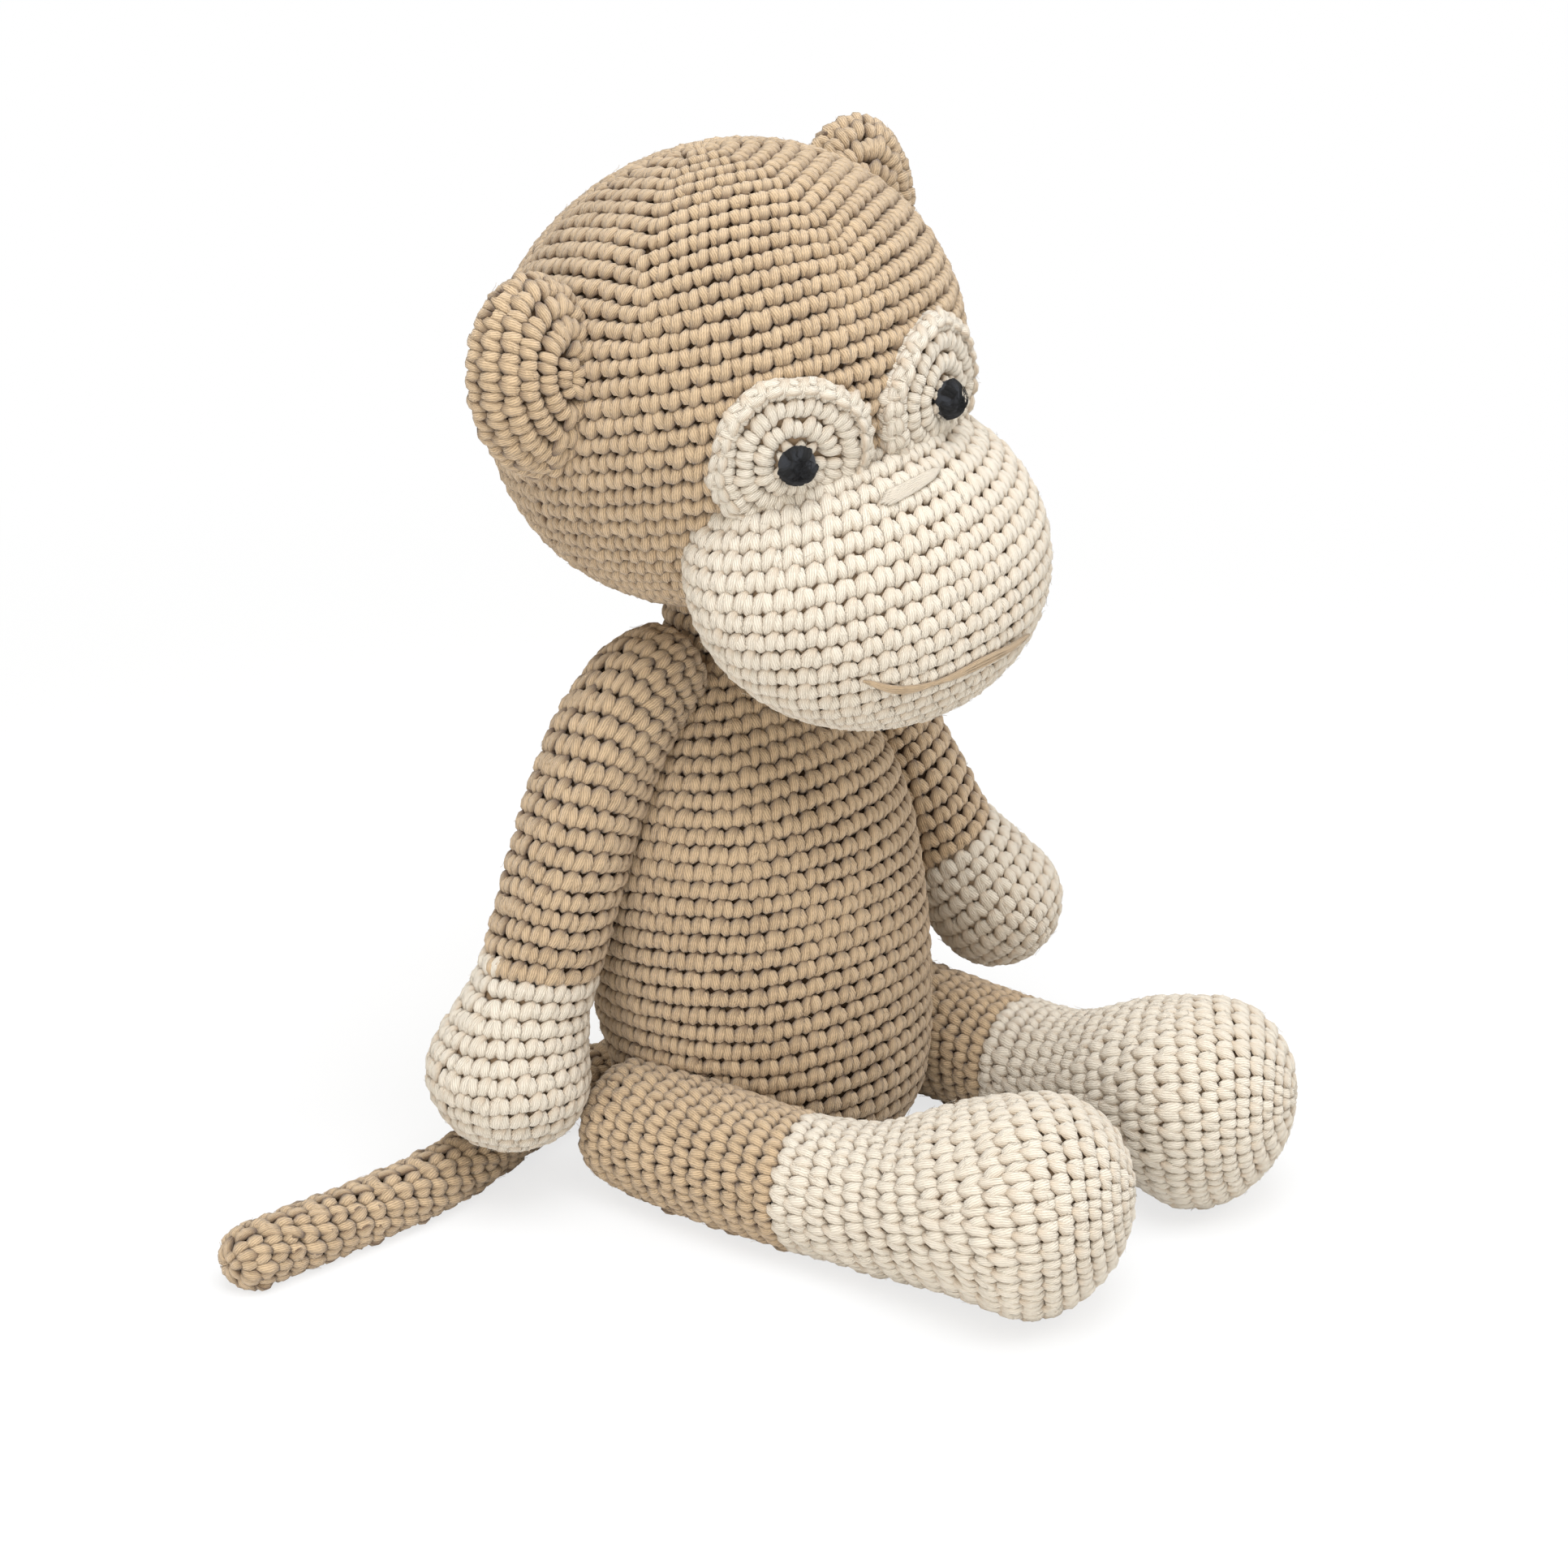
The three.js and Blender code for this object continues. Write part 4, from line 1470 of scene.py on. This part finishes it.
    def on_crown(self, out: np.ndarray, flat: np.ndarray, raised: np.ndarray) -> np.ndarray:
        """Points of the head's surface under a flat patch, along the patch's own direction.

        Args:
            out: The direction that the patch faces.
            flat: The points' places in the plane of the patch, through the head's middle.
            raised: How far each point is lifted off the surface.

        Returns:
            The lifted points, in the head's frame.
        """
        back = turned("X", self.crown_lean)[:3, :3]
        size = np.array(self.halves) + raised[..., None]
        start, way = (flat @ back.T) / size, (out @ back.T) / size
        way = np.broadcast_to(way, start.shape)
        square = np.sum(way * way, axis=-1)
        slope = np.sum(start * way, axis=-1)
        outside = np.sum(start * start, axis=-1) - 1
        reach = (-slope + np.sqrt(np.maximum(slope * slope - square * outside, 0))) / square
        return flat + out * reach[..., None]

    def build_pupil(self, shop: Workshop, side: str, place: np.ndarray, out: np.ndarray) -> None:
        """Makes a pupil: a knot of black yarn wound over itself.

        Args:
            shop: The shared tools.
            side: Which eye.
            place: The middle of the knot.
            out: The direction that it faces.
        """
        across = unit(np.cross((0, 0, 1.0), out))
        up = np.cross(out, across)
        bundle = Bundle()
        chance = np.random.default_rng(5 if side == "right" else 9)
        bend = np.linspace(-1, 1, 11)[:, None]
        wound, loose = 15, 9
        for turn in range(wound):
            slant = math.pi * turn * 0.382 + chance.uniform(-0.15, 0.15)
            along = math.cos(slant) * across + math.sin(slant) * up
            beside = np.cross(out, along)
            offset = (-3.1, 1.6, -0.2, 3.2, -1.8)[turn % 5] + chance.uniform(-0.4, 0.4)
            half = math.sqrt(self.pupil_radius**2 - offset**2) - 0.8
            rise = (self.pupil_bulge - 1.2) * math.sqrt(1 - (offset / self.pupil_radius) ** 2)
            path = bend * half * along + offset * beside + out * rise * np.sqrt(1 - 0.94 * bend**2)
            path = path + out * chance.uniform(-0.4, 0.1) + place
            bundle.add(*strand(path, np.full(11, 0.95), 8, start=len(bundle.points)))
        for turn in range(loose):
            slant = chance.uniform(0, 2 * math.pi)
            along = math.cos(slant) * across + math.sin(slant) * up
            path = bend * chance.uniform(2, 4.5) * along
            path = path + np.cross(out, along) * (chance.uniform(-2, 2) + 1.3 * np.sin(3 * bend + turn))
            sunk = 0.14 * np.sum(path**2, axis=1, keepdims=True)
            path = path + out * (self.pupil_bulge + 0.35 - sunk) + place
            bundle.add(*strand(path, np.full(11, 0.11), 4, start=len(bundle.points)))
        wide = self.pupil_radius - 0.5
        core = ellipsoid_grid((wide, wide, self.pupil_bulge - 1.5), np.array((0, 0, 1.0)))[::6, ::6]
        core = core @ np.stack([across, up, out]) + place
        points = np.vstack([core.reshape(-1, 3), core[0].mean(axis=0), core[-1].mean(axis=0)])
        faces = ring_faces(len(core), core.shape[1], len(bundle.points))
        bundle.add(points, [tuple(reversed(face)) for face in faces], np.full((len(points), 2), 0.5))
        mesh = bundle.mesh(f"pupil_{side}_yarn")
        mesh.materials.append(shop.yarns[Wool.BLACK])
        piece = linked(f"pupil_{side}_yarn", mesh)
        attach(piece, "head")
        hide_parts(f"pupil_{side}")
        log.info("pupil_%s_yarn: %d strands", side, wound)

    def on_muzzle(self, across: float, up: float, raised: float) -> np.ndarray:
        """The point of the muzzle's front at a place across and up the face.

        Args:
            across: The place across the face.
            up: The place up the face.
            raised: How far the point is lifted off the surface.

        Returns:
            The point, in the toy's frame.
        """
        inverse = np.linalg.inv(self.muzzle_frame())
        size = np.array(self.muzzle_halves) + raised
        outside, inner = self.muzzle_centre[1] - 100, self.muzzle_centre[1] - 10
        for _ in range(40):
            middle = (outside + inner) / 2
            if np.linalg.norm(placed(np.array((across, middle, up)), inverse) / size) > 1:
                outside = middle
            else:
                inner = middle
        return placed(np.array((across, outside, up)), self.frame())

    def build_face_stitches(self, shop: Workshop) -> None:
        """Makes the long straight stitches of the nose and the mouth.

        Args:
            shop: The shared tools.
        """
        mouth = ((-30, -55.5), (-21, -61), (-9, -62.5), (4, -62.5), (15, -63.3), (24, -64))
        apart = (0.1, 1.0, 0.75, 1.0, 0.6, 0.1)
        strands = [
            [(x, z + step * gap * math.cos(0.9 * i)) for i, ((x, z), gap) in enumerate(zip(mouth, apart))]
            for step in (-1, 0, 1)
        ]
        self.embroider(shop, "mouth_yarn", "mouth_stitch", Wool.TAN, strands, 0.62)
        nose = [
            [
                (-8.6 + abs(k - 2) * 0.8, -16.6 + (k - 2.5) * 0.42),
                (2.6, -16.2 + (k - 2.5) * 0.36),
                (13.2 - abs(k - 3) * 0.9, -15.9 + (k - 2.5) * 0.22),
            ]
            for k in range(6)
        ]
        self.embroider(shop, "nose_yarn", "nose_stitch", Wool.CREAM, nose, 0.6)

    def embroider(
        self, shop: Workshop, name: str, node: str, wool: Wool,
        routes: list[list[tuple[float, float]]], radius: float,
    ) -> None:
        """Makes straight stitches of yarn over the muzzle.

        Args:
            shop: The shared tools.
            name: What the piece is called.
            node: The frame's solid that it stands for.
            wool: Its yarn.
            routes: The strands, each as places across and up the face.
            radius: The strands' radius.
        """
        bundle, rings = Bundle(), 28
        taper = np.minimum(1, 0.45 + 3 * np.sin(np.linspace(0.02, math.pi - 0.02, rings)))
        for route in routes:
            path = evenly(spline([tuple(self.on_muzzle(x, z, 0.9)) for x, z in route], 0.5), rings)
            outwards = tuple(path[rings // 2] - self.frame()[:3, 3])
            points, faces, wrap = strand(path, radius * taper, 8, 1.0, len(bundle.points), outwards)
            # The strands' yarn map is kept off the foot and top of the painted crease shade, and its sides
            # are drawn in so that they take less of it
            wrap[:, 0] = 0.42 + 0.4 * np.abs(wrap[:, 0] % 2 - 1)
            wrap[:, 1] = 0.5 + 0.6 * (wrap[:, 1] - 0.5)
            bundle.add(points, faces, wrap)
        mesh = bundle.mesh(name)
        mesh.materials.append(shop.yarns[wool])
        piece = linked(name, mesh)
        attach(piece, "head")
        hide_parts(node)
        log.info("%s: %d strands", name, len(routes))


@dataclass(frozen=True)
class Limb:
    """An arm or a leg: one stuffed tube in two yarns, worked from the hand or the toe up.

    Its line runs from the root to the tip. The stations give its radius at shares of that line, the caps how
    far its round ends reach from the root and from the tip, and the change where the yarn changes, measured
    from the tip.
    """

    body: str
    upper: str
    lower: str
    filling: str
    route: tuple[Place, ...]
    stations: tuple[tuple[float, float], ...]
    caps: tuple[float, float]
    change: float
    tip_turn: float = 0.0
    tip_axis: Place = (0, 0, 1)
    sewn: bool = False
    gauge: Gauge = Gauge()

    def grid(self) -> Grid:
        """The outer surface, from the tip to the root.

        Returns:
            The grid of points.
        """
        samples = 260
        curve = evenly(spline(list(self.route), 0.5, 60), samples)
        length = float(np.linalg.norm(np.diff(curve, axis=0), axis=1).sum())
        share = np.linspace(0, 1, samples)
        radii = spline(list(self.stations), 0.0)
        radius = np.interp(share, radii[:, 0], radii[:, 1])
        root, tip = self.caps
        for run, cap in ((share * length, root), ((1 - share) * length, tip)):
            radius = radius * np.sqrt(1 - np.maximum(1 - run / cap, 0) ** 2)
        wanted = np.concatenate([
            (1 - np.cos(np.linspace(0, math.pi / 2, 30))) * tip * 0.98 + 0.02,
            np.linspace(tip + 1, length - root, 90),
            length - root * (1 - np.sin(np.linspace(0.05, 1.52, 14))),
        ])
        at = length - wanted
        centres = np.stack([np.interp(at, share * length, curve[:, i]) for i in range(3)], axis=1)
        radius = np.maximum(np.interp(at, share * length, radius), 0.3)
        grid = tube_grid(centres, radius, self.facing(centres))
        if self.tip_turn:
            grid = self.turned_tip(grid, centres, length - at)
        grid[..., 2] = np.maximum(grid[..., 2], UNDERSIDE)
        return grid

    @staticmethod
    def facing(centres: np.ndarray, reach: int = 10) -> np.ndarray:
        """Which way each ring faces: along the line of centres, with its bends evened out.

        Args:
            centres: The middle of each ring.
            reach: Over how many rings to each side a bend is spread.

        Returns:
            The direction of each ring.
        """
        along = unit(np.gradient(centres, axis=0))
        longer = np.vstack([np.repeat(along[:1], reach, axis=0), along, np.repeat(along[-1:], reach, axis=0)])
        window = np.ones(2 * reach + 1) / (2 * reach + 1)
        return unit(np.stack([np.convolve(longer[:, i], window, "valid") for i in range(3)], axis=1))

    def turned_tip(self, grid: Grid, centres: np.ndarray, run: np.ndarray, blend: float = 62.0) -> Grid:
        """Rings the same form again so that its rounds start at the side of the tip.

        Args:
            grid: The form, ringed about its line of centres.
            centres: The middle of each ring.
            run: How far each ring is from the tip.
            blend: Over what length the rings turn back square to the line of centres.

        Returns:
            The form with its rings turned.
        """
        points = np.vstack([grid.reshape(-1, 3), grid[0].mean(axis=0), grid[-1].mean(axis=0)])
        skin = BVHTree.FromPolygons([Vector(point) for point in points], ring_faces(len(grid), ANGLES))
        along = self.facing(centres)
        cap = self.caps[1]
        heart = np.array([np.interp(cap, run, centres[:, i]) for i in range(3)])
        pole = turned(Vector(self.tip_axis), self.tip_turn)[:3, :3] @ -along[int(np.searchsorted(run, cap))]
        side = unit(grid[:, 0] - grid[:, ANGLES // 2])
        angle = around()
        fresh = []
        for ring, far in enumerate(run):
            if far >= cap + blend:
                fresh.append(grid[ring])
                continue
            down = math.radians(90) * min(far / cap, 1.0)
            back = min(max((far - cap) / blend, 0.0), 1.0)
            facing = unit(-pole * (1 - back) + along[ring] * back)
            normal = unit(side[ring] - facing * float(facing @ side[ring]))
            other = np.cross(facing, normal)
            start = heart if far < cap else centres[ring]
            circle = np.cos(angle)[:, None] * normal + np.sin(angle)[:, None] * other
            ways = math.cos(down) * pole + math.sin(down) * circle
            fresh.append([np.array(skin.ray_cast(Vector(start), Vector(way))[0]) for way in ways])
        return np.array(fresh)

    def build(self, shop: Workshop) -> None:
        """Makes the two covers and the stuffing.

        Args:
            shop: The shared tools.
        """
        grid = self.grid()
        laid = lay_rows(grid, self.gauge)
        away = near_node(self.upper, self.lower)
        on_solid, with_hand = 1.6, 4.5
        ends = [i for i, ring in enumerate(grid) if min(away(point) for point in ring[::8]) < on_solid]
        kept = grid[: ends[-1] + 1]
        run = np.concatenate([[0], np.cumsum(np.linalg.norm(np.diff(grid, axis=0), axis=2).mean(axis=1))])
        border = float(np.interp(self.change, lengths_along(grid.mean(axis=1)), run))
        cut = int(np.searchsorted(run, border))
        cream = laid.chosen(lambda place, worked: worked < border)
        tan = laid.chosen(lambda place, worked: worked >= border)
        lower = Cover(f"{self.lower}_crochet", self.body, Wool.CREAM, self.lower)
        lower.make(shop, grid, cream, kept[: cut + 1], reach=with_hand)
        upper = Cover(f"{self.upper}_crochet", self.body, Wool.TAN, self.upper)
        rule = sewn_to_torso(self.upper) if self.sewn else lambda point: away(point) < SEAM_REACH
        upper.make(shop, grid, tan, self.fitted(kept[cut:], rule), rule=rule)
        name = self.filling.replace("_filling", "_stuffing")
        stuffing(shop, name, self.filling, self.body, kept[:-2])

    @staticmethod
    def fitted(grid: Grid, rule: Callable[[np.ndarray], bool]) -> Grid:
        """The upper form, each line along it ended where the cover meets the body.

        Args:
            grid: The form from the change of yarn to the root.
            rule: Where the cover may lie.

        Returns:
            The form, with its last rings drawn up to the cut.
        """
        fitted = grid.copy()
        rings = len(grid)
        for column in range(0, ANGLES, 2):
            off = [ring for ring in range(rings // 4, rings) if not rule(grid[ring, column])]
            end = off[0] - 1 if off else rings - 1
            at = np.linspace(0, end, rings)
            low = np.minimum(at.astype(int), rings - 2)
            part = (at - low)[:, None]
            for same in (column, (column + 1) % ANGLES):
                fitted[:, same] = grid[low, same] * (1 - part) + grid[low + 1, same] * part
        return fitted


def arm(side: str) -> Limb:
    """The measures of one arm.

    Args:
        side: Which arm.

    Returns:
        The arm.
    """
    shoulder = np.array((0, 18, 140))
    if side == "right":
        route = ((-14, 0.5, 1), (-29, 0, -2), (-43, -0.5, -11), (-54.5, -0.5, -27), (-62.5, 0.5, -46),
                 (-70, 3, -70), (-76.5, 6.5, -91), (-81.5, 9.5, -112.5), (-84.5, 11, -122.5))
        hand, change, turn = 22.4, 52.0, 12
    else:
        route = ((14, 0, 0), (30, -1, -2), (46, -6, -12), (56.5, -11, -27), (61, -15, -40),
                 (65, -22.5, -55.5), (71, -28.5, -71.5), (80, -40, -89.5), (88, -50.5, -104))
        hand, change, turn = 19.4, 45.0, 0
    stations = ((0, 12.5), (0.12, 15), (0.35, 16), (0.66, 16), (0.74, 17.6), (0.86, hand), (1, hand))
    points = tuple(tuple(shoulder + np.array(point)) for point in route)
    parts = (f"{side}_arm", f"arm_{side}", f"hand_{side}", f"arm_{side}_filling")
    return Limb(*parts, points, stations, (8, hand), change, turn, (-0.73, -0.6, 0.33), sewn=True)


def leg(side: str) -> Limb:
    """The measures of one leg.

    Args:
        side: Which leg.

    Returns:
        The leg.
    """
    sign = -1 if side == "right" else 1
    route = ((50, 18, 18), (50.5, 5, 18), (51, -20, 18), (49.5, -50, 18), (46, -78, 20), (42, -104, 26.5),
             (39, -124, 29.5), (37.5, -145, 29.5))
    stations = ((0, 14), (0.1, 18.4), (0.45, 18.4), (0.6, 20.6), (0.78, 27), (0.9, 30), (1, 30))
    points = tuple((sign * x, y, z) for x, y, z in route)
    parts = (f"{side}_leg", f"leg_{side}", f"foot_{side}", f"leg_{side}_filling")
    return Limb(*parts, points, stations, (10, 26), 96, 38)


@dataclass(frozen=True)
class Tail:
    """The slim tail, worked from its tip up and laid along the floor."""

    radius: float = 8.5
    route: tuple[Place, ...] = (
        (4, 22, 9), (-3, 40, 8.6), (-19, 49.5, 8), (-42, 48.5, 8),
        (-65, 43, 8), (-95, 38.5, 8), (-130, 41, 8), (-166, 46.5, 8),
    )

    def grid(self) -> Grid:
        """The outer surface, from the tip to the root.

        Returns:
            The grid of points.
        """
        samples, close = 240, 14
        curve = evenly(spline(list(self.route), 0.5, 60), samples)[::-1]
        run = np.linspace(0, 1, samples) * float(np.linalg.norm(np.diff(curve, axis=0), axis=1).sum())
        round_tip = np.sqrt(1 - np.maximum(1 - run / self.radius, 0) ** 2)
        keep = np.concatenate([np.arange(0, close), np.arange(close, samples, 3)])
        grid = tube_grid(curve[keep], np.maximum(self.radius * round_tip[keep], 0.3))
        grid[..., 2] = np.maximum(grid[..., 2], UNDERSIDE)
        return grid

    def build(self, shop: Workshop) -> None:
        """Makes the tail cover and its stuffing.

        Args:
            shop: The shared tools.
        """
        grid = self.grid()
        rule = sewn_to_torso("tail_cover")
        kept = Limb.fitted(grid, rule)
        cover = Cover("tail_crochet", "tail", Wool.TAN, "tail_cover")
        cover.make(shop, grid, lay_rows(grid, Gauge()), kept, rule=rule)
        stuffing(shop, "tail_stuffing", "tail_filling", "tail", kept[:-3])


@dataclass(frozen=True)
class Studio:
    """The plain floor, the soft light and the camera."""

    camera: Place = (-698.1, -571.7, 442.1)
    right: Place = (0.6293, -0.7771, 0)
    up: Place = (0.2721, 0.2204, 0.9367)
    lens: float = 79.57

    def build(self) -> None:
        """Makes the floor, the world, the lamps and the camera."""
        scene = bpy.context.scene
        scene.view_settings.view_transform = "Standard"
        self.build_floor()
        self.build_world()
        self.lamp("overhead_light", (-250, -300, 1400), 1100, 20.5, (0.95, 1.0, 1.06))
        self.lamp("front_light", (-1150, -500, 260), 900, 7.6, (1.0, 0.97, 0.92))
        self.lamp("side_light", (900, -900, 900), 700, 5.5, (1.0, 1.0, 1.0))
        data = bpy.data.cameras.new("camera")
        data.lens, data.sensor_width = self.lens, 36
        data.clip_end = 50
        camera = bpy.data.objects.new("camera", data)
        scene.collection.objects.link(camera)
        back = np.cross(self.right, self.up)
        axes = Matrix(np.stack([self.right, self.up, back], axis=1).tolist()).to_4x4()
        camera.matrix_world = Matrix.Translation(Vector(self.camera) * MM) @ axes
        scene.camera = camera

    def build_floor(self) -> None:
        """Makes the floor, near white to the camera, with the toy's soft shadow."""
        size = 6000
        points = np.array([(-size, -size, 0), (size, -size, 0), (size, size, 0), (-size, size, 0)], float)
        floor = linked("floor", mesh_of("floor", points, [(0, 1, 2, 3)]))
        shading = Shading("pale_floor", roughness=0.9, specular=0.5)
        shading.surface.inputs["Base Color"].default_value = (0.82, 0.82, 0.82, 1)
        glow = shading.node("ShaderNodeEmission", {"Strength": 1.0}, {})
        path = shading.nodes.new("ShaderNodeLightPath")
        where = shading.nodes.new("ShaderNodeTexCoord")
        far = shading.node("ShaderNodeVectorMath", {}, {"Vector": where.outputs["Object"]})
        far.operation = "LENGTH"
        fade = {"From Min": 0.22, "From Max": 0.75, "To Min": 0.74, "To Max": 1.0}
        glowing = shading.node("ShaderNodeMapRange", fade, {"Value": far.outputs["Value"]})
        glowing.interpolation_type = "SMOOTHSTEP"
        mix = shading.nodes.new("ShaderNodeMixShader")
        share = shading.sums("MULTIPLY", path.outputs["Is Camera Ray"], glowing.outputs[0])
        for socket, source in zip(mix.inputs, (share, shading.surface.outputs[0], glow.outputs[0])):
            shading.links.new(source, socket)
        shading.links.new(mix.outputs[0], shading.nodes["Material Output"].inputs["Surface"])
        floor.data.materials.append(shading.material)

    def build_world(self) -> None:
        """Makes the even studio surround, white to the camera."""
        world = bpy.data.worlds.new("studio")
        world.use_nodes = True
        bpy.context.scene.world = world
        nodes, links = world.node_tree.nodes, world.node_tree.links
        background = nodes["Background"]
        path = nodes.new("ShaderNodeLightPath")
        strength = nodes.new("ShaderNodeMapRange")
        strength.inputs["To Min"].default_value = 0.565
        strength.inputs["To Max"].default_value = 1.0
        links.new(path.outputs["Is Camera Ray"], strength.inputs["Value"])
        links.new(strength.outputs[0], background.inputs["Strength"])
        colour = nodes.new("ShaderNodeMix")
        colour.data_type = "RGBA"
        given = {socket.name: socket for socket in colour.inputs if socket.enabled}
        given["A"].default_value = (1.0, 0.95, 0.86, 1)
        given["B"].default_value = (1, 1, 1, 1)
        links.new(path.outputs["Is Camera Ray"], given["Factor"])
        links.new(next(socket for socket in colour.outputs if socket.enabled), background.inputs["Color"])

    @staticmethod
    def lamp(name: str, place: Place, size: float, power: float, colour: Colour) -> None:
        """Hangs a soft lamp that faces the toy.

        Args:
            name: What the lamp is called.
            place: Where it hangs, in millimetres.
            size: The side of its square, in millimetres.
            power: Its power in watts.
            colour: Its colour.
        """
        data = bpy.data.lights.new(name, "AREA")
        data.size, data.energy, data.color = size * MM, power, colour
        lamp = bpy.data.objects.new(name, data)
        bpy.context.scene.collection.objects.link(lamp)
        lamp.location = Vector(place) * MM
        aim = Vector((0, 0, 130)) * MM - lamp.location
        lamp.rotation_euler = aim.to_track_quat("-Z", "Y").to_euler()


def main() -> None:
    """Builds the toy, part by part, and then the studio."""
    logging.basicConfig(level=logging.INFO, format="%(name)s: %(message)s")
    finishes = {
        Wool.TAN: YarnFinish(
            "tan_yarn", (0.64, 0.465, 0.284), (0.382, 0.255, 0.138), (0.13, 0.068, 0.03), sheen=0.3
        ),
        Wool.CREAM: YarnFinish("cream_yarn", (0.79, 0.715, 0.60), (0.73, 0.635, 0.51), (0.67, 0.53, 0.385)),
        Wool.BLACK: YarnFinish(
            "black_yarn", (0.026, 0.028, 0.034), (0.009, 0.01, 0.013), (0.004, 0.004, 0.005), sheen=0.05
        ),
    }
    # The tan and cream grounds are painted shade, dark colours for the gaps between stitches; the filling
    # keeps the fibre's own colour
    gap_shade_and_filling_finishes = {
        Wool.TAN: GapShadeAndFillingFinish("tan_gap_shade", (0.10, 0.063, 0.036), (0.05, 0.03, 0.018)),
        Wool.CREAM: GapShadeAndFillingFinish("cream_gap_shade", (0.52, 0.385, 0.26), (0.38, 0.265, 0.17)),
        Wool.FIBRE: GapShadeAndFillingFinish("filling_fibre", (0.85, 0.85, 0.84), (0.72, 0.72, 0.7), 160),
    }
    yarns = {wool: finish.material() for wool, finish in finishes.items()}
    gap_shades_and_filling = {wool: finish.material() for wool, finish in gap_shade_and_filling_finishes.items()}
    stitch = linked("stitch_pattern", StitchShape().mesh())
    fibre = linked("fibre_pattern", FibreShape().mesh())
    shop = Workshop(StitchTree().build(), stitch, fibre, yarns, gap_shades_and_filling)
    Torso().build(shop)
    Neck().build(shop)
    Head().build(shop)
    for limb in (arm("right"), arm("left"), leg("right"), leg("left")):
        limb.build(shop)
    Tail().build(shop)
    for pattern in (stitch, fibre):
        bpy.data.objects.remove(pattern)
    Studio().build()


if __name__ == "__main__":
    main()
